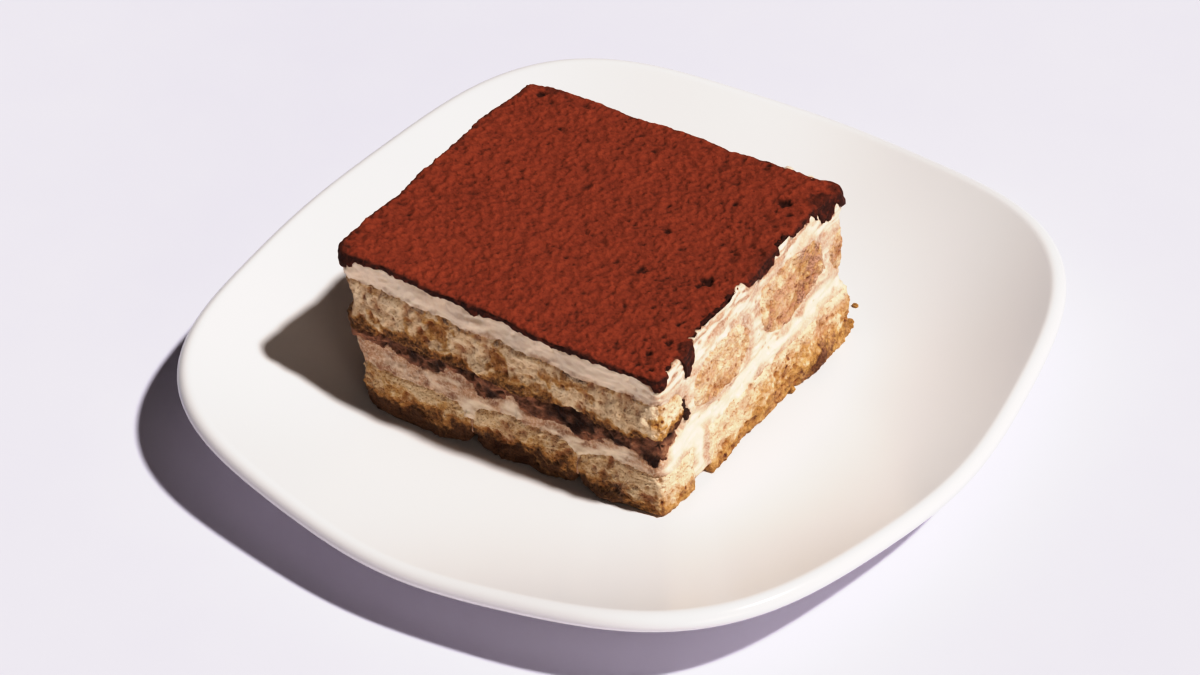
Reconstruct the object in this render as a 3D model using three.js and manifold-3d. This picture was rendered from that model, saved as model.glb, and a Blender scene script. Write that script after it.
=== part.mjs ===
// A cut square of tiramisu on its own square coupe plate.
// Millimetres, +Z up. The origin is the middle of the plate's foot ring, on the table.
import * as THREE from 'three';
import { mergeVertices } from 'three/addons/utils/BufferGeometryUtils.js';
import Module from 'manifold-3d';

const wasm = await Module();
wasm.setup();

// ---------------------------------------------------------------- driving dimensions

// Plate: a rounded square coupe of thick porcelain with a softly rolled lip.
const PLATE_HALF_WIDTH = 95;         // from the middle to the middle of a side
const CORNER_REACH = 0.1058;         // how much further a corner reaches, as a share of the half width
const CORNER_SHARPNESS = -0.0211;    // eighth harmonic of the outline, negative for flatter sides
const WELL_HEIGHT = 7.2;             // eating surface above the table
const RIM_HEIGHT = 17.4;             // lip above the table at the middle of a side
const CORNER_LIFT = 4.2;             // how much higher the lip is at a corner
const WELL_EDGE = 0.55;              // where the flat well ends, as a share of the outline
const RISE_POWER = 1.6;              // the coupe's curve from the well to the lip
const LIP_RADIUS = 2.3;              // of the roll of the lip
const LIP_TURN = [2.0, -1.6];        // the roll's arc, in radians, from where it meets the dish to the underside
const LIP_STEPS = 6;
const PLATE_THICKNESS = 4;
const DISH_ROWS = [0.3, 0.54, 0.62, 0.69, 0.76, 0.83, 0.89, 0.94];  // shares of the outline with a row of points
const UNDERSIDE_ROWS = [0.88, 0.78, 0.68];
const FOOT_OUTER = 0.57;             // the foot ring, as shares of the outline
const FOOT_INNER = 0.535;
const FOOT_FLARE = 0.02;             // how much wider the ring is where it meets the underside
const FOOT_HEIGHT = 3.2;
const PLATE_STEPS = 60;

// Slice: nominal size, and where its eight corners stand on the plate.
const LENGTH = 86;                   // along u, from the left corner to the front corner
const WIDTH = 77;                    // along v, from the front corner to the right corner
const HEIGHT = 42;                   // along w
const BASE_CORNERS = { left: [-43.0, -46.2], front: [39.4, -41.4], right: [39.6, 37.6], back: [-48.9, 33.5] };
const TOP_CORNERS = {
  left: [-47.3, -42.9, 52.2], front: [38.6, -39.3, 46.6], right: [35.8, 36.5, 49.8], back: [-49.7, 33.4, 49.9],
};
const CORNER_RADIUS = 2.2;           // of the upright edges of the cut block
const GAP = 0.3;                     // clearance between neighbouring solids
const OVERRUN = 6;                   // how far a sponge finger runs past the cut before it is trimmed
const LAYER_CELLS = 18;              // cells along each side of a layer

// Layers, as heights above the plate.
const COCOA_THICKNESS = 1.6;
const CREAM_SPLIT = 24;              // where the two creams meet between the upper fingers
const CREAM_LOWER_FLOOR = 3;         // how deep the lower cream sinks into the joints
const SOAKED_UNDERSIDE = 17.8;       // the soaked cocoa under the first upper finger
const SOAKED_WIDTH = 12.3;
const SOAKED_RISE = 28;              // how high it stands between the first two upper fingers

// Sponge fingers: middle is across the slice, height is up it. Upper ones lie along u, lower ones along v.
const UPPER_SQUARENESS = 0.75;       // power on a section's sine and cosine: 1 is an oval, 0 a box
const LOWER_SQUARENESS = 0.45;
const UPPER_FINGERS = [
  { name: 'sponge_upper_1', middle: -2.8, halfWidth: 12.6, height: 27.0, halfHeight: 6.5 },
  { name: 'sponge_upper_2', middle: 24.8, halfWidth: 12.2, height: 27.2, halfHeight: 7.2 },
  { name: 'sponge_upper_3', middle: 54.8, halfWidth: 13.4, height: 28.2, halfHeight: 8.0 },
  { name: 'sponge_upper_4', middle: 83.0, halfWidth: 12.2, height: 24.6, halfHeight: 6.4 },
];
const BREAK_START = 12.6;            // the right-hand lower finger is in two pieces, this far along v
const BREAK_END = 18.4;
const LOWER_FINGERS = [
  { name: 'sponge_lower_left', middle: 12.2, halfWidth: 20.4, height: 5.9, halfHeight: 5.9 },
  { name: 'sponge_lower_middle', middle: 47.8, halfWidth: 14.6, height: 6.4, halfHeight: 6.4 },
  { name: 'sponge_lower_front', middle: 82.0, halfWidth: 19.0, height: 6.1, halfHeight: 6.1, to: BREAK_START },
  { name: 'sponge_lower_right', middle: 82.0, halfWidth: 19.0, height: 6.8, halfHeight: 6.8, from: BREAK_END },
];

// Where the cut sides swell or sink, in mm outwards, over a round patch of a given spread.
const BULGES = [
  { u: 0, v: 2, w: 37, out: 0.9, spread: 5 },           // down the left corner: cocoa, cream, sponge, foot
  { u: 0, v: 2, w: 29, out: -0.8, spread: 3.5 },
  { u: 0, v: 3, w: 22, out: 2.3, spread: 4.5 },
  { u: 0, v: 2, w: 12, out: -1.2, spread: 6 },
  { u: 0, v: 2, w: 1, out: -1.8, spread: 5 },
  { u: LENGTH, v: WIDTH, w: 38, out: 1.9, spread: 5 },  // down the right corner
  { u: LENGTH, v: WIDTH, w: 18, out: -0.8, spread: 6 },
  { u: LENGTH, v: 60, w: 2, out: 1.2, spread: 5 },      // lumps of wet crumb at the foot of the right side
  { u: LENGTH, v: 4, w: 17, out: -0.7, spread: 5 },
  { u: 30, v: WIDTH, w: 8, out: 1.2, spread: 7 },
  { u: 0, v: WIDTH, w: 40, out: -1.6, spread: 6 },
];

// ---------------------------------------------------------------- materials

function finish(color, roughness) {
  return new THREE.MeshStandardMaterial({ color, roughness, metalness: 0 });
}

const PORCELAIN = finish(0xf1ede9, 0.15);
const COCOA = finish(0x7d3324, 0.95);
const CREAM = finish(0xf2dfc6, 0.6);
const SPONGE = finish(0xcfae7c, 0.9);
const SOAKED_COCOA = finish(0x3b241d, 0.75);

// ---------------------------------------------------------------- small helpers

const mix = (a, b, share) => a + (b - a) * share;
const clamp = (value, low, high) => Math.min(Math.max(value, low), high);
const bump = (x, middle, spread) => Math.exp(-(((x - middle) / spread) ** 2));

/** Turns points and triangles into a solid that can be joined and cut. */
function solid(points, triangles) {
  const geometry = new THREE.BufferGeometry();
  geometry.setAttribute('position', new THREE.Float32BufferAttribute(points.flat(), 3));
  geometry.setIndex(triangles.flat());
  const merged = mergeVertices(geometry, 1e-4);
  return new wasm.Manifold(new wasm.Mesh({
    numProp: 3,
    vertProperties: new Float32Array(merged.attributes.position.array),
    triVerts: new Uint32Array(merged.index.array),
  }));
}

/** Names a finished solid, keeping its largest body and dropping loose scraps. */
function namedMesh(name, shape, material) {
  const bodies = shape.decompose();
  bodies.sort((a, b) => b.volume() - a.volume());
  const { vertProperties, triVerts } = bodies[0].getMesh();
  const geometry = new THREE.BufferGeometry();
  geometry.setAttribute('position', new THREE.BufferAttribute(vertProperties, 3));
  geometry.setIndex(new THREE.BufferAttribute(triVerts, 1));
  const mesh = new THREE.Mesh(geometry, material);
  mesh.name = name;
  return mesh;
}

// ---------------------------------------------------------------- plate

/** How square the plate is at an angle: 0 at the middle of a side, 1 at a corner. */
const cornerness = (angle) => (1 - Math.cos(4 * angle)) / 2;

/** The plate's outline: a circle drawn out at four corners by its fourth and eighth harmonics. */
function plateRadius(angle) {
  return PLATE_HALF_WIDTH
    * (1 + CORNER_REACH * cornerness(angle) + CORNER_SHARPNESS * (1 - Math.cos(8 * angle)) / 2);
}

/** Height of the lip's top at an angle. */
const lipHeight = (angle) => RIM_HEIGHT + CORNER_LIFT * cornerness(angle);

// Where the dish runs into the lip's roll: a share of the outline, and how far below the lip's top.
const LIP_SHARE = LIP_RADIUS / PLATE_HALF_WIDTH;
const LIP_START = 1 - LIP_SHARE * (1 - Math.cos(LIP_TURN[0]));
const LIP_DROP = LIP_RADIUS * (1 - Math.sin(LIP_TURN[0]));

/** Height of the dish at a share of its outline, at an angle. */
function dishHeight(share, angle) {
  const rise = Math.max(0, (share - WELL_EDGE) / (LIP_START - WELL_EDGE)) ** RISE_POWER;
  return WELL_HEIGHT + (lipHeight(angle) - LIP_DROP - WELL_HEIGHT) * rise;
}

/** Height of the eating surface under a point. */
function plateTop(x, y) {
  const angle = Math.atan2(y, x);
  return dishHeight(Math.hypot(x, y) / plateRadius(angle), angle);
}

/** The plate's section from the middle of its top, round the lip, to the middle of its underside. */
function plateSection(angle) {
  const onDish = (share, drop) => [share, dishHeight(share, angle) - drop];
  const section = DISH_ROWS.map((share) => onDish(share, 0));
  for (let step = 0; step <= LIP_STEPS; step += 1) {
    const turn = mix(...LIP_TURN, step / LIP_STEPS);
    const share = 1 - LIP_SHARE * (1 - Math.cos(turn));
    section.push([share, lipHeight(angle) - LIP_RADIUS * (1 - Math.sin(turn))]);
  }
  section.push(...UNDERSIDE_ROWS.map((share) => onDish(share, PLATE_THICKNESS)));
  section.push([FOOT_OUTER + FOOT_FLARE, FOOT_HEIGHT], [FOOT_OUTER, 0]);
  section.push([FOOT_INNER, 0], [FOOT_INNER - FOOT_FLARE, FOOT_HEIGHT]);
  return section;
}

/** The plate as one closed surface: its section carried round the outline. */
function plateSolid() {
  const points = [[0, 0, WELL_HEIGHT]];
  const rows = plateSection(0).length;
  for (let step = 0; step < PLATE_STEPS; step += 1) {
    const angle = (2 * Math.PI * step) / PLATE_STEPS;
    const radius = plateRadius(angle);
    for (const [share, z] of plateSection(angle)) {
      points.push([share * radius * Math.cos(angle), share * radius * Math.sin(angle), z]);
    }
  }
  const underside = points.length;
  points.push([0, 0, FOOT_HEIGHT]);
  const at = (step, row) => 1 + (step % PLATE_STEPS) * rows + row;
  const triangles = [];
  for (let step = 0; step < PLATE_STEPS; step += 1) {
    triangles.push([0, at(step, 0), at(step + 1, 0)]);
    for (let row = 0; row < rows - 1; row += 1) {
      triangles.push([at(step, row), at(step, row + 1), at(step + 1, row + 1)]);
      triangles.push([at(step, row), at(step + 1, row + 1), at(step + 1, row)]);
    }
    triangles.push([underside, at(step + 1, rows - 1), at(step, rows - 1)]);
  }
  return solid(points, triangles);
}

// ---------------------------------------------------------------- the slice's own coordinates

/** Blends four corner values over the slice's plan. */
function overPlan(corners, u, v, axis) {
  const s = u / LENGTH;
  const t = v / WIDTH;
  return mix(mix(corners.left[axis], corners.front[axis], s), mix(corners.back[axis], corners.right[axis], s), t);
}

/** Places a point of the slice (u, v, w) on the plate: the soft block leans and sags with its corners. */
function place([u, v, w]) {
  const share = w / HEIGHT;
  const baseX = overPlan(BASE_CORNERS, u, v, 0);
  const baseY = overPlan(BASE_CORNERS, u, v, 1);
  const baseZ = plateTop(baseX, baseY) + GAP;
  return [
    mix(baseX, overPlan(TOP_CORNERS, u, v, 0), share),
    mix(baseY, overPlan(TOP_CORNERS, u, v, 1), share),
    mix(baseZ, overPlan(TOP_CORNERS, u, v, 2), share),
  ];
}

/** Unevenness of the cut sides, in mm outwards: waves round the cut and up it, and its bulges. */
function cutRelief(around, u, v, w) {
  const turn = 2 * Math.PI * around;
  const waves = 0.42 * Math.sin(11 * turn + 0.21 * w + 0.6)
    + 0.30 * Math.sin(19 * turn - 0.33 * w + 2.1)
    + 0.26 * Math.sin(5 * turn + 0.55 * w + 4.0);
  return BULGES.reduce((sum, patch) => sum
    + patch.out * bump(Math.hypot(u - patch.u, v - patch.v, w - patch.w), 0, patch.spread), waves);
}

/** Point of the cut's outline at a height: a rectangle with rounded corners and uneven sides. */
function outlinePoint(a, b, w) {
  const u = ((a + 1) / 2) * LENGTH;
  const v = ((b + 1) / 2) * WIDTH;
  const middle = [clamp(u, CORNER_RADIUS, LENGTH - CORNER_RADIUS), clamp(v, CORNER_RADIUS, WIDTH - CORNER_RADIUS)];
  const out = [u - middle[0], v - middle[1]];
  const reach = Math.hypot(...out);
  const around = (Math.atan2(b, a) / (2 * Math.PI) + 1) % 1;
  const radius = CORNER_RADIUS + cutRelief(around, u, v, w);
  return [middle[0] + (out[0] / reach) * radius, middle[1] + (out[1] / reach) * radius];
}

/**
 * A layer of the slice between two surfaces, as a closed block. A surface is { edge, height }: the height at
 * which its outline is taken and its height at (u, v, ring), where ring is 1 on the cut's outline. Its plan is
 * a grid of nested outlines, closer together at the edge. A surface without a height is flat, and is one fan.
 */
function layer(low, high, sideRows) {
  const n = LAYER_CELLS;
  const points = [];
  const triangles = [];
  const add = (point) => points.push(place(point)) - 1;
  const square = (i, j) => [(2 * i) / n - 1, (2 * j) / n - 1];
  const heightAt = (surface, u, v, ring) => (surface.height ? surface.height(u, v, ring) : surface.edge);

  const border = [];
  for (let k = 0; k < n; k += 1) border.push([k, 0]);
  for (let k = 0; k < n; k += 1) border.push([n, k]);
  for (let k = 0; k < n; k += 1) border.push([n - k, n]);
  for (let k = 0; k < n; k += 1) border.push([0, n - k]);

  const borderPoint = (surface, [i, j]) => {
    const [u, v] = outlinePoint(...square(i, j), surface.edge);
    return [u, v, heightAt(surface, u, v, 1)];
  };
  const columns = border.map((cell) => {
    const bottom = borderPoint(low, cell);
    const top = borderPoint(high, cell);
    const column = [add(bottom)];
    for (let row = 1; row < sideRows; row += 1) {
      const w = mix(bottom[2], top[2], row / sideRows);
      column.push(add([...outlinePoint(...square(...cell), w), w]));
    }
    column.push(add(top));
    return column;
  });
  columns.forEach((column, step) => {
    const next = columns[(step + 1) % columns.length];
    for (let row = 0; row < sideRows; row += 1) {
      triangles.push([column[row], next[row], next[row + 1]], [column[row], next[row + 1], column[row + 1]]);
    }
  });

  const cover = (surface, end, upwards) => {
    const facing = (p, q, r) => triangles.push(upwards ? [p, q, r] : [p, r, q]);
    if (!surface.height) {
      const middle = add([LENGTH / 2, WIDTH / 2, surface.edge]);
      columns.forEach((column, step) => facing(middle, column[end], columns[(step + 1) % columns.length][end]));
      return;
    }
    const borderIndex = new Map(border.map((cell, step) => [cell.join(), columns[step][end]]));
    const index = (i, j) => {
      const key = [i, j].join();
      if (!borderIndex.has(key)) {
        const [a, b] = square(i, j);
        const share = Math.max(Math.abs(a), Math.abs(b));
        const ring = Math.sin((Math.PI / 2) * share);
        const [edgeU, edgeV] = share > 0 ? outlinePoint(a / share, b / share, surface.edge) : [0, 0];
        const [u, v] = [mix(LENGTH / 2, edgeU, ring), mix(WIDTH / 2, edgeV, ring)];
        borderIndex.set(key, add([u, v, surface.height(u, v, ring)]));
      }
      return borderIndex.get(key);
    };
    for (let i = 0; i < n; i += 1) {
      for (let j = 0; j < n; j += 1) {
        facing(index(i, j), index(i + 1, j), index(i + 1, j + 1));
        facing(index(i, j), index(i + 1, j + 1), index(i, j + 1));
      }
    }
  };
  cover(low, 0, false);
  cover(high, sideRows, true);
  return solid(points, triangles);
}

/** A bar of sponge: a rounded section carried along, closed by a point at each end. */
function bar(finger, along, extra) {
  const upper = along === 'u';
  const SIDES = 14;
  const STATIONS = 7;
  const squareness = upper ? UPPER_SQUARENESS : LOWER_SQUARENESS;
  const total = upper ? LENGTH : WIDTH;
  const from = (finger.from ?? -OVERRUN) - extra;
  const to = (finger.to ?? total + OVERRUN) + extra;
  const squared = (x) => Math.sign(x) * Math.abs(x) ** squareness;
  const position = (distance, across, height) => place(upper ? [distance, across, height] : [across, distance, height]);
  const points = [];
  for (let station = 0; station <= STATIONS; station += 1) {
    const distance = mix(from, to, station / STATIONS);
    const sway = (upper ? 0.7 : 0.3) * Math.sin(distance / 13);
    const swell = upper ? 1 + 0.04 * Math.sin(distance / 7 + 2 * finger.middle) : 1;
    for (let side = 0; side < SIDES; side += 1) {
      const turn = (2 * Math.PI * (side + 0.5)) / SIDES;
      const across = finger.middle + sway + (finger.halfWidth * swell + extra) * squared(Math.cos(turn));
      const height = finger.height + (finger.halfHeight * swell + extra) * squared(Math.sin(turn));
      points.push(position(distance, across, height));
    }
  }
  points.push(position(from, finger.middle, finger.height), position(to, finger.middle, finger.height));
  const [startPole, endPole] = [points.length - 2, points.length - 1];
  const at = (station, side) => station * SIDES + (side % SIDES);
  const triangles = [];
  for (let side = 0; side < SIDES; side += 1) {
    for (let station = 0; station < STATIONS; station += 1) {
      triangles.push([at(station, side), at(station, side + 1), at(station + 1, side + 1)]);
      triangles.push([at(station, side), at(station + 1, side + 1), at(station + 1, side)]);
    }
    triangles.push([startPole, at(0, side + 1), at(0, side)]);
    triangles.push([endPole, at(STATIONS, side), at(STATIONS, side + 1)]);
  }
  // The section turns from +across to +height, which faces outwards only where u, v and w keep their order.
  return solid(points, upper ? triangles : triangles.map(([p, q, r]) => [p, r, q]));
}

// ---------------------------------------------------------------- layer surfaces

/** The top sags towards the left-front cut and stands a little higher along the right-front one. */
const topSag = (u, v) => 0.9 * bump(v, 0, 8) - 0.6 * bump(u, LENGTH, 8);

const cocoaTop = (u, v, ring) => HEIGHT - topSag(u, v)
  + 0.30 * Math.sin(u / 7.3 + 1.3) * Math.sin(v / 6.1 + 0.4)
  + 0.15 * Math.sin((2 * u - v) / 9.7)
  - 0.5 * ring ** 40;

// Where the cocoa hangs lower over the cuts, in mm, over a patch of a given spread along the edge.
const COCOA_RUNS = [
  { u: 0, v: 0, depth: 2.6, spread: 3.5 },
  { u: LENGTH, v: 1, depth: 2.0, spread: 3 },
  { u: LENGTH, v: 12.4, depth: 5.5, spread: 3 },
  { u: LENGTH, v: 44, depth: 1.8, spread: 4 },
  { u: LENGTH, v: 72, depth: 5.0, spread: 3.5 },
  { u: 39, v: 0, depth: 1.4, spread: 2.5 },
  { u: 8, v: WIDTH, depth: 2.2, spread: 4 },
  { u: 0, v: 46, depth: 1.6, spread: 4 },
];

function cocoaUnderside(u, v, ring) {
  const runs = COCOA_RUNS.reduce((sum, run) => sum
    + run.depth * bump(Math.hypot(u - run.u, v - run.v), 0, run.spread), 0);
  return HEIGHT - COCOA_THICKNESS - topSag(u, v) + 0.2 * Math.sin(u / 5.2) * Math.cos(v / 6.3)
    - ring ** 30 * runs;
}

const soakedUnderside = (u) => SOAKED_UNDERSIDE
  - 2.4 * bump(u, 61.5, 7) - 2.0 * bump(u, 38.5, 3.5) - 3.2 * bump(u, 83, 3.5) + 0.3 * Math.sin(u / 4.1);

/** A block of the soaked cocoa's space: along u from end to end, and across v up to a width. */
function soakedSpace(extra) {
  const CELLS_ALONG = 22;
  const across = [-OVERRUN, SOAKED_WIDTH / 2, SOAKED_WIDTH + extra];
  const points = [];
  const triangles = [];
  const rows = across.length;
  for (let i = 0; i <= CELLS_ALONG; i += 1) {
    const u = mix(-OVERRUN, LENGTH + OVERRUN, i / CELLS_ALONG);
    for (const v of across) {
      points.push(place([u, v, soakedUnderside(u) - extra]), place([u, v, SOAKED_RISE + extra]));
    }
  }
  const at = (i, j, level) => (i * rows + j) * 2 + level;
  const quad = (p, q, r, s) => triangles.push([p, q, r], [p, r, s]);
  for (let i = 0; i < CELLS_ALONG; i += 1) {
    for (let j = 0; j < rows - 1; j += 1) {
      quad(at(i, j, 1), at(i + 1, j, 1), at(i + 1, j + 1, 1), at(i, j + 1, 1));
      quad(at(i, j, 0), at(i, j + 1, 0), at(i + 1, j + 1, 0), at(i + 1, j, 0));
    }
    quad(at(i, 0, 0), at(i + 1, 0, 0), at(i + 1, 0, 1), at(i, 0, 1));
    quad(at(i, rows - 1, 0), at(i, rows - 1, 1), at(i + 1, rows - 1, 1), at(i + 1, rows - 1, 0));
  }
  for (let j = 0; j < rows - 1; j += 1) {
    quad(at(0, j, 0), at(0, j, 1), at(0, j + 1, 1), at(0, j + 1, 0));
    quad(at(CELLS_ALONG, j, 0), at(CELLS_ALONG, j + 1, 0), at(CELLS_ALONG, j + 1, 1), at(CELLS_ALONG, j, 1));
  }
  return solid(points, triangles);
}

// ---------------------------------------------------------------- assembly

const tiramisu = new THREE.Group();
tiramisu.name = 'tiramisu_slice';

tiramisu.add(namedMesh('plate', plateSolid(), PORCELAIN));

const block = layer({ edge: -GAP }, { edge: HEIGHT, height: cocoaTop }, 9);
const grown = (fingers, along) => fingers.map((finger) => bar(finger, along, GAP));
const upperSpaces = grown(UPPER_FINGERS, 'u');
const lowerSpaces = grown(LOWER_FINGERS, 'v');

for (const finger of UPPER_FINGERS) {
  tiramisu.add(namedMesh(finger.name, bar(finger, 'u', 0).intersect(block), SPONGE));
}
for (const finger of LOWER_FINGERS) {
  tiramisu.add(namedMesh(finger.name, bar(finger, 'v', 0).intersect(block), SPONGE));
}

let soaked = soakedSpace(0).intersect(block);
const cocoaEdge = HEIGHT - COCOA_THICKNESS;
const underCocoa = { edge: cocoaEdge, height: (u, v, ring) => cocoaUnderside(u, v, ring) - GAP };
let creamLower = layer({ edge: CREAM_LOWER_FLOOR }, { edge: CREAM_SPLIT }, 5).subtract(soakedSpace(GAP));
let creamUpper = layer({ edge: CREAM_SPLIT + GAP }, underCocoa, 4).subtract(soakedSpace(GAP));
for (const space of upperSpaces) {
  soaked = soaked.subtract(space);
  creamLower = creamLower.subtract(space);
  creamUpper = creamUpper.subtract(space);
}
for (const space of lowerSpaces) {
  creamLower = creamLower.subtract(space);
}
tiramisu.add(namedMesh('soaked_cocoa_layer', soaked, SOAKED_COCOA));
tiramisu.add(namedMesh('cream_lower', creamLower, CREAM));
tiramisu.add(namedMesh('cream_upper', creamUpper, CREAM));
tiramisu.add(namedMesh('cocoa_top', layer({ edge: cocoaEdge, height: cocoaUnderside },
  { edge: HEIGHT, height: cocoaTop }, 1), COCOA));

export default tiramisu;
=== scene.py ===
"""A square-cut slice of tiramisu on its rounded-square porcelain plate.

Sizes are in millimetres. The slice is worked out in its own coordinates: u along its longer cut side, from
the left corner to the front one, v from the front corner to the right one, and w up. Points on its four cut
sides are moved onto the uneven cut, and then the whole slice is set on the plate, leaning and sagging a bit.
The side along u at v = 0 is the left-front cut, and the side along v at u = LENGTH the right-front cut.
"""
import math

import bpy
import numpy as np
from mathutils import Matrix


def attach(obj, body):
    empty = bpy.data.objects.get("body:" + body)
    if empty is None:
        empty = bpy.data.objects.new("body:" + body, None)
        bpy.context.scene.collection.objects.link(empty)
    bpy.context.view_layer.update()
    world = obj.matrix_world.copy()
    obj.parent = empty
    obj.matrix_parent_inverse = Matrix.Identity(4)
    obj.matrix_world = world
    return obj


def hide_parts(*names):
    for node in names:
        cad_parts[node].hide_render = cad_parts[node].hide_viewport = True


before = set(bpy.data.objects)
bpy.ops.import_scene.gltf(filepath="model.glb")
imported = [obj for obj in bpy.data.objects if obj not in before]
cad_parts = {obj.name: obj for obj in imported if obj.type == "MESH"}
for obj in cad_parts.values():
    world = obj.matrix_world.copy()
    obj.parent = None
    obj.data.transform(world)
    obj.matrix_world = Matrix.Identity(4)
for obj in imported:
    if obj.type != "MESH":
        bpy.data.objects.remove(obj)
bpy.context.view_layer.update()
MM = 0.001

# ------------------------------------------------------------------ sizes

PLATE_HALF_WIDTH = 95.0
CORNER_REACH, CORNER_SHARPNESS = 0.1058, -0.0211     # the outline's fourth and eighth harmonics
WELL_HEIGHT, RIM_HEIGHT, CORNER_LIFT = 7.2, 17.4, 4.2
WELL_EDGE, RISE_POWER = 0.55, 1.6                    # where the dish starts to rise, and the rise's power
LIP_RADIUS = 2.3
LIP_TURN = (2.0, -1.6)           # the lip's roll, in radians, from where it meets the dish to the underside
PLATE_THICKNESS = 4.0
FOOT_OUTER, FOOT_INNER, FOOT_FLARE, FOOT_HEIGHT = 0.57, 0.535, 0.02, 3.2

LENGTH, WIDTH, HEIGHT = 86.0, 77.0, 42.0
CORNER_RADIUS = 2.2
GAP = 0.3
# Where the slice's corners stand on the plate (x, y), and where its top corners are (x, y, z).
BASE_CORNERS = {
    "left": (-43.0, -46.2), "front": (39.4, -41.4),
    "right": (39.6, 37.6), "back": (-48.9, 33.5),
}
TOP_CORNERS = {
    "left": (-47.3, -42.9, 52.2), "front": (38.6, -39.3, 46.6),
    "right": (35.8, 36.5, 49.8), "back": (-49.7, 33.4, 49.9),
}

COCOA_THICKNESS = 1.6
COCOA_FLOOR = HEIGHT - 2.3       # its underside, inside the slice
CREAM_FLOOR, CREAM_SPLIT = 3.0, 24.0
CREAM_COVER = HEIGHT - 3.0       # the upper cream's highest points inside the slice
SOAKED_UNDERSIDE, SOAKED_MIDDLE, SOAKED_RISE = 17.8, 22.0, 28.0
SOAKED_WIDTH = 12.3
FIRST_JOINT = 11.0               # between the first upper finger and the second, across the slice
FINE = 0.33                      # spacing of points on a cut side
STEPS_INSIDE = 12                # stations along a finger that only shows at its ends
POWDER_CELLS = 260
NEAR_CUT = 4.5                   # how far behind a cut points are held back behind it
RIM_REACH = 6.0                  # how far in from a cut the powder is drawn out with it

# Sponge fingers: the middle and half width lie across the slice, the height and half height up it.
# The last lower row is broken in two, with cream between.
UPPER_SQUARENESS, LOWER_SQUARENESS = 0.75, 0.45
BREAK_START, BREAK_END = 12.6, 18.4
FINGERS = {
    "sponge_upper_1": dict(along="u", middle=-2.8, half_width=12.6, height=27.0, half_height=6.5),
    "sponge_upper_2": dict(along="u", middle=24.8, half_width=12.2, height=27.2, half_height=7.2),
    "sponge_upper_3": dict(along="u", middle=54.8, half_width=13.4, height=28.2, half_height=8.0),
    "sponge_upper_4": dict(along="u", middle=83.0, half_width=12.2, height=24.6, half_height=6.4),
    "sponge_lower_left": dict(along="v", middle=12.2, half_width=20.4, height=5.9, half_height=5.9),
    "sponge_lower_middle": dict(along="v", middle=47.8, half_width=14.6, height=6.4, half_height=6.4),
    "sponge_lower_front": dict(along="v", middle=82.0, half_width=19.0, height=6.1, half_height=6.1,
                               end=BREAK_START),
    "sponge_lower_right": dict(along="v", middle=82.0, half_width=19.0, height=6.8, half_height=6.8,
                               start=BREAK_END),
}

# Where the cut sides swell or sink: (u, v, w, outwards, spread).
BULGES = [
    (0, 2, 37, 0.9, 5), (0, 2, 29, -0.8, 3.5), (0, 3, 22, 2.3, 4.5), (0, 2, 12, -1.2, 6),
    (0, 2, 1, -1.8, 5), (LENGTH, WIDTH, 38, 1.9, 5), (LENGTH, WIDTH, 18, -0.8, 6), (LENGTH, 60, 2, 1.2, 5),
    (LENGTH, 4, 17, -0.7, 5), (30, WIDTH, 8, 1.2, 7), (0, WIDTH, 40, -1.6, 6),
]
# Where the cocoa hangs lower over a cut: (u, v, depth, spread).
COCOA_RUNS = [
    (0, 0, 3.0, 3.0), (LENGTH, 0.5, 2.0, 2.2), (LENGTH, 12.2, 5.6, 2.4), (LENGTH, 46, 2.0, 4),
    (LENGTH, 61.5, 1.0, 2.5), (LENGTH, 71, 4.6, 3.2), (LENGTH, WIDTH, 2.6, 2.4), (38, 0, 1.2, 2.0),
    (8, WIDTH, 2.2, 4), (0, 46, 1.6, 4),
]
# Torn hollows in the powder, most of them near the right-front cut: (u, v, spread, depth).
TORN_HOLLOWS = [
    (79, 66, 1.6, 1.1), (78, 34, 1.5, 1.0), (77, 31.5, 1.0, 0.7), (61, 44, 0.8, 0.7), (56, 52, 0.8, 0.7),
    (80, 18, 0.9, 0.8), (81, 12, 1.0, 0.9), (79, 7, 0.8, 0.8), (82, 3, 0.9, 0.8), (6, 73, 1.3, 0.8),
    (72, 20, 0.6, 0.5), (69, 60, 0.6, 0.5), (50, 30, 0.6, 0.5), (36, 60, 0.6, 0.5), (63, 12, 0.7, 0.5),
]


# ------------------------------------------------------------------ uneven shapes

def mix(a, b, share):
    """From a to b by a share of the way."""
    return a + (b - a) * share


def bump(x, middle, spread):
    """A smooth hill, 1 at its middle: e to the minus of the squared distance over the spread."""
    return np.exp(-(((x - middle) / spread) ** 2))


def ease(x):
    """0 below 0, 1 above 1, and a smooth rise between."""
    x = np.clip(x, 0.0, 1.0)
    return x * x * (3.0 - 2.0 * x)


def sum_of_bumps(x, y, places):
    """Round smooth hills, one for each place (x, y, spread), added up."""
    return sum(bump(np.hypot(x - px, y - py), 0, spread) for px, py, spread in places)


def plateau(x, low, high, soft):
    """1 from low to high, easing to 0 over `soft` on either side."""
    return ease((x - low + soft) / soft) * ease((high + soft - x) / soft)


def scatter(i, j, k, seed):
    """A repeatable random number, 0 to 1, for each whole-number place."""
    h = (i.astype(np.uint32) * np.uint32(374761393) + j.astype(np.uint32) * np.uint32(668265263)
         + k.astype(np.uint32) * np.uint32(2246822519) + np.uint32((seed * 3266489917) % 2 ** 32))
    h = (h ^ (h >> np.uint32(15))) * np.uint32(2246822519)
    h = (h ^ (h >> np.uint32(13))) * np.uint32(3266489917)
    return ((h ^ (h >> np.uint32(16))) & np.uint32(0xFFFFFF)).astype(np.float64) / 0xFFFFFF


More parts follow.
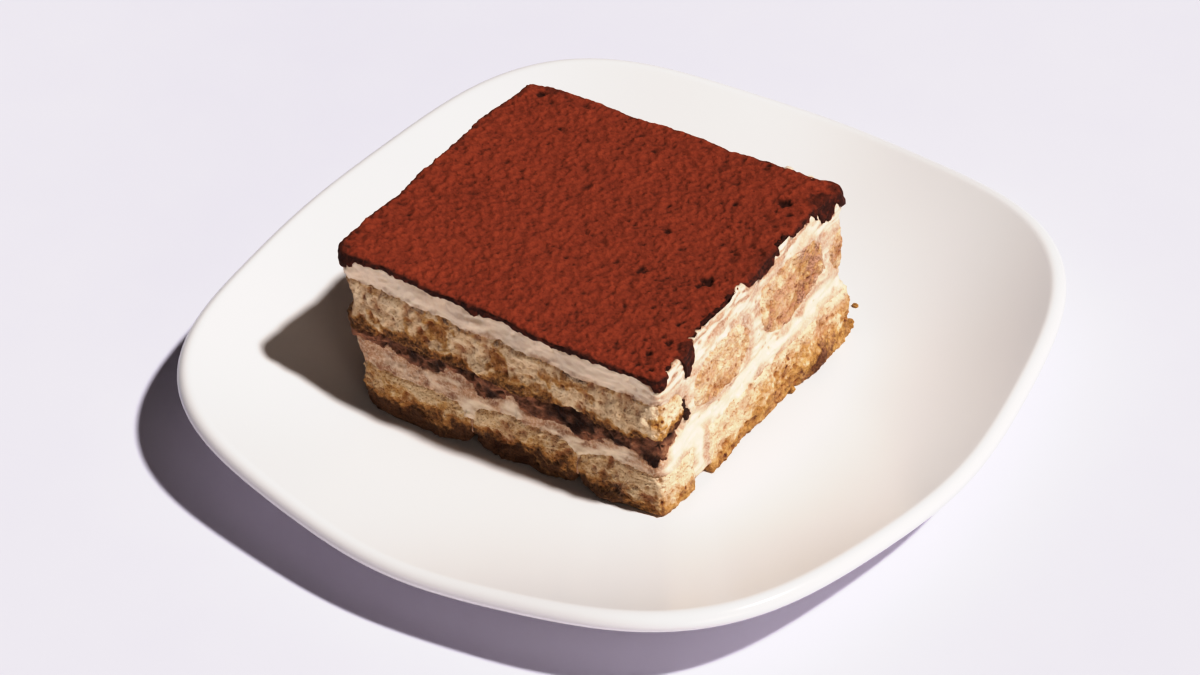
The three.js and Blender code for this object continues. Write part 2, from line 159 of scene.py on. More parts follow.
def waves(x, y, z, size, seed):
    """Smooth random relief, -1 to 1: random numbers at a lattice's corners, `size` apart, eased together."""
    x, y, z = x / size, y / size, z / size
    i, j, k = (np.floor(c).astype(np.int64) for c in (x, y, z))
    a, b, c = (ease(p - q) for p, q in ((x, i), (y, j), (z, k)))
    total = 0.0
    for di, wa in ((0, 1 - a), (1, a)):
        for dj, wb in ((0, 1 - b), (1, b)):
            for dk, wc in ((0, 1 - c), (1, c)):
                total = total + wa * wb * wc * scatter(i + di, j + dj, k + dk, seed)
    return 2.0 * total - 1.0


def rough(x, y, z, size, seed, octaves=3):
    """Waves on waves: each octave half as long and half as high as the one before."""
    total, height = 0.0, 1.0
    for octave in range(octaves):
        total = total + height * waves(x, y, z, size / 2 ** octave, seed + octave)
        height *= 0.5
    return total


def pores(x, y, z, size, seed, keep=1.0):
    """Round hollows, 1 at a hollow's middle and 0 outside it: one random point in each lattice cell, of which
    the share `keep` is used, and the distance to the nearest over the cell's size."""
    x, y, z = x / size, y / size, z / size
    i, j, k = (np.floor(c).astype(np.int64) for c in (x, y, z))
    hollow = np.zeros_like(x)
    for di in (-1, 0, 1):
        for dj in (-1, 0, 1):
            for dk in (-1, 0, 1):
                ci, cj, ck = i + di, j + dj, k + dk
                px, py, pz = (c + scatter(ci, cj, ck, seed + n) for n, c in enumerate((ci, cj, ck)))
                spread = 0.25 + 0.35 * scatter(ci, cj, ck, seed + 3)
                away = np.sqrt((x - px) ** 2 + (y - py) ** 2 + (z - pz) ** 2) / spread
                used = scatter(ci, cj, ck, seed + 4) < keep
                hollow = np.maximum(hollow, np.where(used, 1.0 - ease(away), 0.0))
    return hollow


# ------------------------------------------------------------------ plate and slice coordinates

def cornerness(angle):
    """0 at the middle of the plate's sides and 1 at its corners."""
    return (1 - np.cos(4 * angle)) / 2


def plate_radius(angle):
    """The plate's outline: a circle drawn out at four corners by its fourth and eighth harmonics."""
    return PLATE_HALF_WIDTH * (1 + CORNER_REACH * cornerness(angle)
                               + CORNER_SHARPNESS * (1 - np.cos(8 * angle)) / 2)


def lip_height(angle):
    """Height of the lip's top: the rim's, and more towards the corners."""
    return RIM_HEIGHT + CORNER_LIFT * cornerness(angle)


LIP_SHARE = LIP_RADIUS / PLATE_HALF_WIDTH
LIP_START = 1 - LIP_SHARE * (1 - math.cos(LIP_TURN[0]))     # where the dish runs into the lip's roll
LIP_DROP = LIP_RADIUS * (1 - math.sin(LIP_TURN[0]))


def dish_height(share, angle):
    """The eating surface: flat to the well's edge, then rising to the lip as a power of the way out."""
    rise = np.maximum(0.0, (share - WELL_EDGE) / (LIP_START - WELL_EDGE)) ** RISE_POWER
    return WELL_HEIGHT + (lip_height(angle) - LIP_DROP - WELL_HEIGHT) * rise


def plate_top(x, y):
    """Height of the eating surface at a place, by its share of the way out to the outline."""
    angle = np.arctan2(y, x)
    return dish_height(np.hypot(x, y) / plate_radius(angle), angle)


def over_plan(corners, u, v, axis):
    """Blends four corner values over the slice's plan."""
    s, t = u / LENGTH, v / WIDTH
    return mix(mix(corners["left"][axis], corners["front"][axis], s),
               mix(corners["back"][axis], corners["right"][axis], s), t)


def place(u, v, w):
    """Sets slice coordinates on the plate: each height blends the leaning block's base and top corners."""
    share = w / HEIGHT
    x, y = (over_plan(BASE_CORNERS, u, v, axis) for axis in (0, 1))
    z = plate_top(x, y) + GAP
    return np.stack([mix(low, over_plan(TOP_CORNERS, u, v, axis), share)
                     for axis, low in enumerate((x, y, z))], axis=-1)


def cut_relief(u, v, w):
    """How far the cut stands out: slow waves round it and up it, and its bulges."""
    turn = np.arctan2(2 * v / WIDTH - 1, 2 * u / LENGTH - 1)
    relief = 0.55 * (0.42 * np.sin(11 * turn + 0.21 * w + 0.6) + 0.30 * np.sin(19 * turn - 0.33 * w + 2.1)
                     + 0.26 * np.sin(5 * turn + 0.55 * w + 4.0)) + 0.30 * waves(u, v, 0.6 * w, 7.0, 19)
    for bu, bv, bw, out, spread in BULGES:
        away = np.sqrt((u - bu) ** 2 + (v - bv) ** 2 + (w - bw) ** 2)
        relief = relief + out * bump(away, 0, spread)
    return relief


def on_cut(u, v):
    """True for points that lie on one of the block's four sides."""
    near = 1e-6
    return (u < near) | (u > LENGTH - near) | (v < near) | (v > WIDTH - near)


def cut_sides(u, v, w, lift):
    """Moves points of the block's sides onto the uneven cut: out from a rectangle inset by the corner's
    radius, by that radius, the cut's relief and the piece's own lift, a function of place. Points up to
    NEAR_CUT behind a side are held behind the cut, in their order, and other points stay."""
    cut = on_cut(u, v)
    side_u, side_v = (
        np.where(cut | (c == np.clip(c, NEAR_CUT, total - NEAR_CUT)), c, total * (c > total / 2))
        for c, total in ((u, LENGTH), (v, WIDTH)))
    near = cut | (side_u != u) | (side_v != v)
    out = np.zeros_like(u)
    out[near] = (cut_relief(side_u, side_v, w) + lift(side_u, side_v, w))[near]
    middle_u = np.clip(u, CORNER_RADIUS, LENGTH - CORNER_RADIUS)
    middle_v = np.clip(v, CORNER_RADIUS, WIDTH - CORNER_RADIUS)
    stretch = (CORNER_RADIUS + out) / np.maximum(np.hypot(u - middle_u, v - middle_v), 1e-9)
    return (np.where(cut, middle_u + (u - middle_u) * stretch, held(u, LENGTH, out * near)),
            np.where(cut, middle_v + (v - middle_v) * stretch, held(v, WIDTH, out * near)))


def held(c, total, out):
    """Keeps a coordinate behind the cuts at 0 and at `total`, which stand out by `out`."""
    least, most = np.minimum(c, NEAR_CUT), np.minimum(total - c, NEAR_CUT)
    c = np.where(c < NEAR_CUT, np.maximum(c, 0.1 + 0.3 * least - out), c)
    return np.where(total - c < NEAR_CUT, np.minimum(c, total - 0.1 - 0.3 * most + out), c)


# ------------------------------------------------------------------ layers of the slice

def right_front(u):
    """1 on the right-front cut, easing to 0 round the corner from it."""
    return ease((u - 82) / 3)


def top_sag(u, v):
    """How far the top hangs: lower along the left-front cut and at the right corner, higher along the
    right-front cut."""
    at_corner = bump(np.hypot(u - LENGTH, v - WIDTH), 0, 4.5)
    return 0.9 * bump(v, 0, 8) - 0.6 * bump(u, LENGTH, 8) + 1.3 * at_corner


def cocoa_top_height(u, v):
    """Height of the top before its grain: the slice's height less its sag, and two slow sine waves."""
    return (HEIGHT - top_sag(u, v) + 0.30 * np.sin(u / 7.3 + 1.3) * np.sin(v / 6.1 + 0.4)
            + 0.15 * np.sin((2 * u - v) / 9.7))


def cocoa_runs(u, v):
    """How much lower the cocoa hangs, in patches with a flat middle, a steep edge and a torn outline."""
    torn = 0.22 * waves(u, v, 0 * u, 1.1, 17)
    return sum(depth * np.exp(-(np.hypot(u - ru, v - rv) / spread + torn) ** 4)
               for ru, rv, depth, spread in COCOA_RUNS)


def cream_over(u, v):
    """Where the knife has dragged cream up over the cocoa's edge: three stretches of the right-front cut."""
    stretches = plateau(v, 15.4, 36.5, 1.2) + plateau(v, 52, 56, 1.0) + plateau(v, 4.2, 8.2, 0.8)
    return (u > LENGTH - 1) * stretches


def cocoa_edge(u, v):
    """Height of the cocoa's ragged lower edge on a cut."""
    flat = 0 * u
    ragged = 0.45 * rough(u, v, flat, 2.4, 11) + 0.5 * np.maximum(0, waves(u, v, flat, 1.0, 14))
    uneven = 1 + 0.3 * waves(u, v, flat, 0.8, 18) + 0.35 * waves(u, v, flat, 1.9, 20)
    level = HEIGHT - COCOA_THICKNESS - top_sag(u, v) + 0.2 * np.sin(u / 5.2) * np.cos(v / 6.3)
    return level - cocoa_runs(u, v) * uneven - ragged - 0.4 * bump(v, 0, 2) + 1.3 * cream_over(u, v)


def inside_finger(finger, u, v, w):
    """Depth inside a finger's section, about in mm and negative outside: one less the section's oval
    radius, times its half height."""
    upper = finger["along"] == "u"
    distance, across = (u, v) if upper else (v, u)
    sway, swell = sway_and_swell(finger, distance)
    power = 2 / (UPPER_SQUARENESS if upper else LOWER_SQUARENESS)
    x = np.abs(across - finger["middle"] - sway) / (finger["half_width"] * swell)
    y = np.abs(w - finger["height"]) / (finger["half_height"] * swell)
    depth = (1 - (x ** power + y ** power) ** (1 / power)) * finger["half_height"]
    if "end" in finger:
        depth = np.minimum(depth, finger["end"] - distance)
    if "start" in finger:
        depth = np.minimum(depth, distance - finger["start"])
    return depth


def sway_and_swell(finger, distance):
    """How far a finger strays sideways along its way, and by how much it swells."""
    if finger["along"] == "u":
        return 0.7 * np.sin(distance / 13), 1 + 0.04 * np.sin(distance / 7 + 2 * finger["middle"])
    return 0.3 * np.sin(distance / 13), 1.0


def inside_fingers(u, v, w):
    """Depth inside the nearest finger: the greatest of all the fingers' depths."""
    return np.max([inside_finger(finger, u, v, w) for finger in FINGERS.values()], axis=0)


def soaked_floor(u):
    """Underside of the soaked cocoa: a level with three places where it has run down."""
    return (SOAKED_UNDERSIDE - 2.4 * bump(u, 61.5, 7) - 2.0 * bump(u, 38.5, 3.5) - 3.2 * bump(u, 83, 3.5)
            + 0.3 * np.sin(u / 4.1))


def soaked_span(u):
    """Lowest and highest trace of the soaked cocoa on the left-front cut."""
    low = (soaked_floor(u) + 1.2 * bump(u, 28, 4) + 2.0 * bump(u, 45, 2.5) - 1.8 * bump(u, 51.5, 3)
           + 1.2 * bump(u, 11.5, 1.2) + 1.0 * bump(u, 74, 3))
    return low, 21.2 + 1.3 * bump(u, 61.5, 7) + 3.2 * bump(u, 83.5, 3.5)


def inside_soaked(u, v, w):
    """Depth inside the soaked cocoa's band, in mm, negative outside."""
    low, high = soaked_span(u)
    under = np.minimum(w - low, high - w)
    width = mix(SOAKED_WIDTH, 2.6 + 4.4 * plateau(w, 19.6, 23.5, 1.4), ease((u - 76) / 8))
    streak = np.minimum(np.minimum(29.2 - w, w - 22.8), 1.1 - np.abs(v - 10.4 - 0.12 * (26 - w)))
    return np.maximum(np.minimum(under, width - v), streak)


# ------------------------------------------------------------------ meshes

def ring_faces(rings):
    """Faces between rings of points: rings is a table of point numbers, a closed ring in each row."""
    after = np.roll(rings, -1, axis=1)
    return np.stack([rings[:-1], after[:-1], after[1:], rings[1:]], axis=-1).reshape(-1, 4)


def fan_faces(ring, middle):
    """Triangles from a closed ring of points to its middle."""
    return np.stack([np.roll(ring, -1), ring, np.full_like(ring, middle)], axis=-1)


def tube_faces(shape):
    """Faces of a closed surface: a grid of rings, with one point closing the first and one the last."""
    rows, columns = shape
    rings = np.arange(rows * columns).reshape(shape)
    return ring_faces(rings), np.concatenate([fan_faces(rings[0], rings.size),
                                              fan_faces(rings[-1][::-1], rings.size + 1)])


def encloses(points, quads, triangles):
    """Volume inside the faces, negative where they point inwards: a sixth of each face's triple product."""
    a, b, c, d = (points[quads[:, k]] for k in range(4))
    total = np.sum(a * np.cross(b, c)) + np.sum(a * np.cross(c, d))
    a, b, c = (points[triangles[:, k]] for k in range(3))
    return (total + np.sum(a * np.cross(b, c))) / 6


def make_piece(name, points, faces, material, marks=None):
    """Puts points in mm and their faces, turned outwards, into a mesh at the origin, with its marks."""
    quads, triangles = faces
    if encloses(points, quads, triangles) < 0:
        quads, triangles = quads[:, ::-1], triangles[:, ::-1]
    mesh = bpy.data.meshes.new(name)
    corners = np.concatenate([quads.ravel(), triangles.ravel()]).astype(np.int32)
    starts = np.concatenate([4 * np.arange(len(quads)), 4 * len(quads) + 3 * np.arange(len(triangles))])
    mesh.vertices.add(len(points))
    mesh.vertices.foreach_set("co", (points * MM).astype(np.float32).ravel())
    mesh.loops.add(len(corners))
    mesh.loops.foreach_set("vertex_index", corners)
    mesh.polygons.add(len(starts))
    mesh.polygons.foreach_set("loop_start", starts.astype(np.int32))
    mesh.polygons.foreach_set("use_smooth", np.ones(len(starts), dtype=bool))
    mesh.update(calc_edges=True)
    for mark, values in (marks or {}).items():
        attribute = mesh.attributes.new(mark, "FLOAT", "POINT")
        attribute.data.foreach_set("value", np.clip(values, 0, 1).astype(np.float32))
    mesh.materials.append(material)
    piece = bpy.data.objects.new(name, mesh)
    bpy.context.scene.collection.objects.link(piece)
    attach(piece, "root")
    return piece


def listed(rows, first, last):
    """A grid's coordinates as plain lists, each followed by its two closing points."""
    return [np.append(coordinate.ravel(), [a, b]) for coordinate, a, b in zip(rows, first, last)]


def carried_along(distance, across, height, middles, rings):
    """A section carried along, a row of points to each station, and closed at both ends by rings of the
    section that shrink to its middle there (across, up). Gives the places along, across and up, and the
    shape of the grid of rings."""
    shrink = (np.arange(1, rings) / rings)[:, None]
    first, last = ((distance[k, 0], *middles[k]) for k in (0, -1))
    rows = [np.concatenate([mix(a, row[0], shrink), row, mix(b, row[-1], shrink[::-1])])
            for row, a, b in zip((distance + 0 * across, across, height), first, last)]
    return listed(rows, first, last), rows[0].shape


def stands_for(piece, node):
    """Has a piece take a node's place, hiding that node's part."""
    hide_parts(node)
    return piece


# ------------------------------------------------------------------ plate

def porcelain_plate(material):
    """The plate: its section carried round the outline. The section runs from the middle of the well up
    the dish, round the roll of the lip, back along the underside a wall's thickness lower, then down and up
    the foot ring to the middle underneath. It is given as shares of the outline's radius and heights."""
    angle = np.linspace(0, 2 * np.pi, 360, endpoint=False)
    dish = np.concatenate([np.linspace(0.04, 0.5, 12), np.linspace(0.53, 0.96, 46)])[:, None]
    roll = np.linspace(*LIP_TURN, 22)[:, None]
    under = np.linspace(0.93, 0.63, 24)[:, None]
    foot = np.array([(FOOT_OUTER + FOOT_FLARE, FOOT_HEIGHT - 0.9), (FOOT_OUTER + 0.006, 0.9),
                     (FOOT_OUTER, 0.25), (FOOT_OUTER - 0.004, 0.0), (FOOT_INNER + 0.004, 0.0),
                     (FOOT_INNER, 0.25), (FOOT_INNER - 0.006, 0.9),
                     (FOOT_INNER - FOOT_FLARE, FOOT_HEIGHT - 0.5),
                     (FOOT_INNER - 2 * FOOT_FLARE, FOOT_HEIGHT), (0.25, FOOT_HEIGHT)])
    flat = 0 * angle[None, :]
    underside = np.maximum(dish_height(under, angle) - PLATE_THICKNESS, FOOT_HEIGHT - 0.6)
    share = np.concatenate([dish + flat, 1 - LIP_SHARE * (1 - np.cos(roll)) + flat,
                            under + flat, foot[:, :1] + flat])
    height = np.concatenate([dish_height(dish, angle),
                             lip_height(angle) - LIP_RADIUS * (1 - np.sin(roll)),
                             underside, foot[:, 1:] + flat])
    radius = share * plate_radius(angle)
    points = np.stack(listed((radius * np.cos(angle), radius * np.sin(angle), height),
                             (0, 0, WELL_HEIGHT), (0, 0, FOOT_HEIGHT)), axis=-1)
    return stands_for(make_piece("porcelain_plate", points, tube_faces(share.shape), material),
                      "plate")


# ------------------------------------------------------------------ cut sides: reliefs in mm outwards

def crumb_relief(u, v, w):
    """Cut sponge: lumps a few mm across, made of clumps of crumb, with open pores between them."""
    lumps = 0.44 * rough(u, v, w, 4.6, 21, 2) + 0.32 * waves(u, v, w, 1.7, 27)
    clumps = 0.16 * pores(u, v, w, 2.3, 24) + 0.36 * pores(u, v, w, 1.1, 36) - 0.35
    open_pores = 0.75 * pores(u, v, w, 2.4, 31, 0.28) + 0.50 * pores(u, v, w, 1.15, 41, 0.5)
    return lumps + clumps - open_pores + 0.24 * waves(u, v, w, 0.8, 51)


def cream_relief(u, v, w):
    """Cream dragged along by the knife: long low streaks, a few soft lumps and small torn pits."""
    along = u + v
    streaks = 0.17 * waves(0.12 * along, 0 * u, w, 1.2, 61) + 0.12 * waves(0.3 * along, 0 * u, w, 0.7, 62)
    lumps = 0.24 * rough(u, v, w, 5.5, 63, 2) + 0.16 * waves(u, v, w, 1.5, 68)
    return lumps + streaks - 0.40 * pores(u, v, w, 1.9, 65, 0.22) + 0.07 * waves(u, v, w, 0.7, 67)


def soaked_relief(u, v, w):
    """Wet cocoa and coffee: sticky lumps with deep gaps between them."""
    lumps = 0.45 * rough(u, v, 1.4 * w, 2.4, 71, 2) + 0.5 * pores(u, v, 1.3 * w, 1.5, 73)
    return 0.1 + lumps - 1.1 * pores(u, v, 1.5 * w, 2.2, 75, 0.6) + 0.2 * waves(u, v, w, 0.7, 76)


def cocoa_side_relief(u, v, w):
    """The cocoa's cut edge: rough, pitted, and swollen at the right corner."""
    corner = 0.8 * bump(np.hypot(u - LENGTH, v - WIDTH - 1), 0, 3.2)
    return corner + 0.30 * rough(u, v, w, 1.6, 77) - 0.30 * pores(u, v, w, 1.4, 79, 0.4)


def ragged_edge(u, v, w):
    """How much deeper or shallower one filling reaches over another, in mm."""
    return 0.6 * rough(0.5 * u, 0.6 * v, w, 2.4, 101, 2) + 0.35 * waves(u, v, w, 0.9, 104)


def soaked_edge(u, v, w):
    """Ragged depth inside the soaked cocoa."""
    return inside_soaked(u, v, w) + 1.0 * rough(0.8 * u, v, 1.3 * w, 2.6, 105, 3)


def cream_lift(u, v, w):
    """The cream's relief, running into the crumb's beside a finger, then sunk behind the finger and behind
    the soaked cocoa, gently, so that crumb and cream break through each other along their edge."""
    behind_cocoa = ease((w - cocoa_edge(u, v) - 0.1) / 0.5)
    away = 1 - (u > 80) * plateau(v, 10, 21, 1.0)
    in_a_joint = away * (0.3 * ease((8.6 - w) / 0.8) + 2.0 * ease((3.9 - w) / 0.6))
    under_first = 0.9 * (v < 9) * plateau(w, 20.4, 22.2, 0.8)
    depth = inside_fingers(u, v, w)
    beside = np.maximum(ease((1.6 + depth) / 1.6), 0.8 * (v < 9) * (w < 20) * ease((34 - u) / 16))
    sunk = np.clip(1.1 * (depth - 0.15) + ragged_edge(u, v, w) * beside, 0, 2.6)
    return (mix(cream_relief(u, v, w), crumb_relief(u, v, w) + 0.45, 0.85 * beside) - sunk - under_first
            - 1.8 * ease(soaked_edge(u, v, w) / 1.1) - 1.3 * behind_cocoa - in_a_joint)


def finger_lift(name, u, v, w):
    """The crumb's relief, a little lower at the finger's own edge and sunk behind the soaked cocoa."""
    depth = inside_finger(FINGERS[name], u, v, w)
    lift = crumb_relief(u, v, w) + 0.65 - 0.4 * ease((0.9 - depth) / 0.9)
    if name == "sponge_upper_1":
        lift = lift - 1.9 * ease(soaked_edge(u, v, w) / 0.9)
    return lift


# ------------------------------------------------------------------ sponge fingers

def finger_section(finger, distance):
    """A finger's section at each station along it: a squared oval, cut off straight where a side of the
    block crosses it. Gives its places across, its heights and its middle's place, a row to a station."""
    upper = finger["along"] == "u"
    squareness = UPPER_SQUARENESS if upper else LOWER_SQUARENESS
    sway, swell = sway_and_swell(finger, distance)
    middle = finger["middle"] + sway
    half_width, half_height = finger["half_width"] * swell, finger["half_height"] * swell

    def squared(x):
        return np.sign(x) * np.abs(x) ** squareness

    cut_low, side = finger["middle"] < finger["half_width"], 0.0
    cut_high = finger["middle"] + finger["half_width"] > (WIDTH if upper else LENGTH)
    if not (cut_low or cut_high):
        turn = np.linspace(0, 2 * np.pi, 240, endpoint=False)
        height = finger["height"] + half_height * squared(np.sin(turn)) + 0 * distance
        return middle + half_width * squared(np.cos(turn)), height, middle + 0 * distance
    if cut_high:
        side = WIDTH if upper else LENGTH
    reach = (side - middle) / half_width
    crossing = np.arccos(np.sign(reach) * np.abs(reach) ** (1 / squareness))
    way = np.linspace(0, 1, 98)[None, 1:-1]
    turn = mix(-crossing, crossing, way) if cut_low else mix(crossing, 2 * np.pi - crossing, way)
    chord = np.linspace(1, -1, int(2 * finger["half_height"] / FINE) + 1)[None, :]
    chord = chord * (1 if cut_low else -1)
    across = np.concatenate([middle + half_width * squared(np.cos(turn)),
                             side + 0 * distance * chord], axis=1)
    height = finger["height"] + half_height * np.concatenate(
        [squared(np.sin(turn)), squared(np.sin(crossing)) * chord + 0 * distance], axis=1)
    far = across.max(axis=1) if cut_low else across.min(axis=1)
    return across, height, (far[:, None] + side) / 2


def sponge_finger(name, material):
    """A sponge finger: its section carried along it. What lies on the block's sides takes the cut's relief
    and the crumb's."""
    finger = FINGERS[name]
    upper = finger["along"] == "u"
    total, across_total = (LENGTH, WIDTH) if upper else (WIDTH, LENGTH)
    start, end = finger.get("start", 0.0), finger.get("end", total)
    whole = finger["half_width"] < finger["middle"] < across_total - finger["half_width"]
    steps = STEPS_INSIDE if whole else int((end - start) / FINE)
    distance = np.linspace(start, end, steps + 1)[:, None]
    across, height, centre = finger_section(finger, distance)
    middles = [(centre[k, 0], finger["height"]) for k in (0, -1)]
    rings = int(1.15 * finger["half_height"] / FINE)
    (along, across, w), shape = carried_along(distance, across, height, middles, rings)
    u, v = (along, across) if upper else (across, along)
    w = np.maximum(w, -GAP / 2)
    points = place(*cut_sides(u, v, w, lambda *at: finger_lift(name, *at)), w)
    piece = make_piece("cut_" + name, points, tube_faces(shape), material, sponge_marks(name, u, v, w))
    return stands_for(piece, name)


# How patchily golden and how pink with coffee each upper finger is.
GOLDEN_PATCHES = {"sponge_upper_1": 0.5, "sponge_upper_2": 0.2,
                  "sponge_upper_3": 0.35, "sponge_upper_4": 0.55}
PINK_STAIN = {"sponge_upper_1": 0.0, "sponge_upper_2": 0.6,
              "sponge_upper_3": 0.85, "sponge_upper_4": 1.0}
# Where coffee has darkened the upper fingers on the right-front cut: (v, w, spread).
COFFEE_RIM = [
    (43.5, 24, 3), (45, 28, 2.5), (51, 21.5, 2.6), (58, 21.5, 3.2), (63, 26, 5), (66, 31, 3.2), (61, 35, 3),
    (52, 36, 2.2), (36, 29.5, 2), (36, 24, 2.2), (20, 22.5, 2.4), (26, 21, 2.4), (16, 31, 1.6), (74, 24, 4.5),
]
# Browner and paler places on the left-front cut, of the first finger and of the lower ones: (u, w, spread).
# The paler places near the front corner, at u 74 and 82, are painted light that wraps round that corner.
GOLDEN_UPPER = [(26, 31, 4), (43, 29.5, 2.6), (62, 32, 3.6), (26, 27.5, 3), (8, 25.5, 3)]
PALE_UPPER = [(50, 29, 5), (74, 29, 6), (82, 29, 4), (14, 31, 4.5),
              (2, 29, 3.5), (62, 24.5, 3.5), (36, 25, 3)]
PALE_LOWER = [(74, 8.5, 4.5), (3, 11.5, 3.5), (38, 8, 2.5)]


def sponge_marks(name, u, v, w):
    """How browned or soaked the sponge is, how much cream is smeared over it, where coffee stains it, and
    its hollows, which the material darkens as painted shade, with dark pores painted in clusters on the
    right-front cut: painted shade of pores, with a little soak added there."""
    finger, lit = FINGERS[name], right_front(u)
    mottle = rough(u, v, 1.3 * w, 4.2, 81)
    fine = rough(u, v, w, 1.7, 84, 2)
    depth = inside_finger(finger, u, v, w)
    # Dark pores in clusters on the right-front cut, set at random rather than at hollows of the mesh: painted
    # shade of pores, and a little more soak.
    specks = lit * ease(2.9 * pores(u, v, w, 1.8, 87, 0.5) - 0.9) * ease(0.5 + mottle) * (depth > 0.3)
    # The hollow mark follows the lowest crumb relief; the material darkens it as painted shade.
    hollow = np.maximum(ease((-0.25 - crumb_relief(u, v, w)) / 0.9), specks)
    if finger["along"] == "v":
        soak, smear, stain = lower_marks(u, v, w, lit, mottle, fine)
    else:
        soak, smear, stain = upper_marks(name, u, v, w, lit, mottle, fine, depth)
    return {"soak": soak + 0.35 * specks, "smear": smear * ease(0.6 + fine), "stain": stain,
            "hollow": hollow}


def lower_marks(u, v, w, lit, mottle, fine):
    """A lower finger's soak, smear and stain: a brown crust that fades upwards, thinner and lighter near the
    front corner on the left-front cut, which is painted light for the light that wraps round that corner, a
    dark lump and a stain further back, and cream over its top and beside the break."""
    # On the left-front cut the crust is lowered and the soak lessened towards the front corner, more so past
    # u 76: painted light, for the light that wraps round that corner.
    painted_corner_light = ease((u - 70) / 8) * (1 - lit)
    crust_top = mix(8.6 + 0.4 * bump(u, 38, 14) - 2.0 * painted_corner_light, 8.0, lit)
    crust = ease((crust_top + 1.4 * mottle + 1.0 * fine - w) / mix(5.6, 8.0, lit))
    browned = 0.13 * ease((14 - w) / 3) + 0.32 * ease(0.7 + fine) * ease((12 - w) / 3)
    baked = np.minimum(0.06 + ease((v - 30) / 8) * browned + 0.62 * crust, 0.56 + 0.16 * fine)
    lump = 0.6 * bump(v, 60.5, 4) * bump(w, 2.5, 3) * lit
    in_shade = 0.20 - 0.14 * painted_corner_light + (0.78 - 0.22 * ease((u - 76) / 6)) * crust
    soak = mix(in_shade, baked + lump, lit) + 0.14 * mottle

    over_top = ease((w - 9.0 + 1.5 * bump(v, 26, 9) * lit + 1.0 * fine + 1.6 * mottle) / 5.0)
    # Pale places on the left-front cut; the one near the front corner is painted light.
    pale = 0.6 * (1 - lit) * sum_of_bumps(u, w, PALE_LOWER) * ease(0.8 + fine)
    from_break = np.abs(v - (BREAK_START + BREAK_END) / 2)
    beside_break = ease((8.0 + fine - from_break) / 5) * ease((w - 2.0) / 3)
    smear = np.max([mix(0.25, 0.75, lit) * over_top, pale, 0.95 * lit * beside_break], axis=0)
    stain = 0.6 * ease(bump(v, 66, 7) * bump(w, 10, 3.5) + 0.4 * fine) + 0.3 * ease(0.3 + mottle)
    return soak, smear, lit * stain


def upper_marks(name, u, v, w, lit, mottle, fine, depth):
    """An upper finger's soak, smear and stain. The first, cut lengthwise, is brown along its underside and
    its top edge, with golden and pale places; the others are damp, stained towards their rims by coffee and
    smeared along them with cream."""
    first, others = v < FIRST_JOINT, v > FIRST_JOINT
    on_left_cut = (v < 9) * (1 - lit)
    brown_to = (26.4 - 3.2 * bump(u, 36, 2.5) - 2.2 * bump(u, 61, 4) + 0.4 * bump(u, 73, 4)
                - 0.8 * bump(u, 78.5, 2.5) + 1.0 * lit)
    underside = 0.78 * ease((brown_to + 1.5 * mottle + 1.1 * fine - w) / 3.8) * first
    places = on_left_cut * (sum_of_bumps(u, w, GOLDEN_UPPER) - sum_of_bumps(u, w, PALE_UPPER))
    patches = GOLDEN_PATCHES[name] * ease(0.3 + 0.8 * mottle + 0.5 * fine + places)
    top_edge = 0.5 * on_left_cut * (w > 29) * bump(depth, 0.5, 0.6) * ease(0.6 + fine)
    at_joint = 0.35 * bump(v, 9, 3) * lit * ease((29 - w) / 5)
    rim = np.minimum(sum_of_bumps(v, w, COFFEE_RIM), 1) * ease(0.75 + fine)
    damp = 0.25 + 0.5 * rim + 0.16 * bump(v, 63, 8) + 0.14 * mottle + 0.12 * fine
    soak = np.maximum(np.maximum(underside, patches + top_edge) + at_joint, damp * others * lit)

    over_top = 0.6 * ease((w - FINGERS[name]["height"] - 3.0 + 1.6 * mottle) / 3.5)
    along_rim = mix(0.12, 0.7, ease((1.8 + 1.6 * fine - depth) / 1.8)) * others
    smear = np.maximum(over_top, along_rim) * (1 - 0.8 * rim * others)
    pink = mix(0.5, 1.0, lit) * PINK_STAIN[name] * ease(0.5 + 0.9 * mottle + 0.5 * fine)
    return soak, smear, others * np.maximum(pink, rim)


# ------------------------------------------------------------------ soaked cocoa

# Where the soaked cocoa is thick and near black, and where crumb and cream show through it: (u, w, spread).
THICK_COCOA = [
    (18, 20, 1.6), (25, 19.6, 2.3), (31, 20.6, 1.5), (40.5, 16.8, 2.1), (52, 16.8, 1.3), (58, 20.5, 3.4),
    (63, 19, 3.8), (72, 19.5, 2.2), (76, 18.4, 1.6), (84, 16.5, 2.6), (86, 23.5, 2.6),
]
CRUMB_IN_COCOA = [(61.5, 19.3, 0.9), (83, 21.3, 1.8), (50, 15.8, 1.8), (46, 20, 2), (35, 19.5, 1.6),
                  (72, 22, 2)]


def soaked_lift(u, v, w):
    """The soaked cocoa's relief, sunk outside its ragged band and a little where it lies in a finger."""
    return (soaked_relief(u, v, w) - 2.2 * ease(-soaked_edge(u, v, w) / 0.8)
            - 0.3 * ease(np.maximum(inside_fingers(u, v, w), 0)))


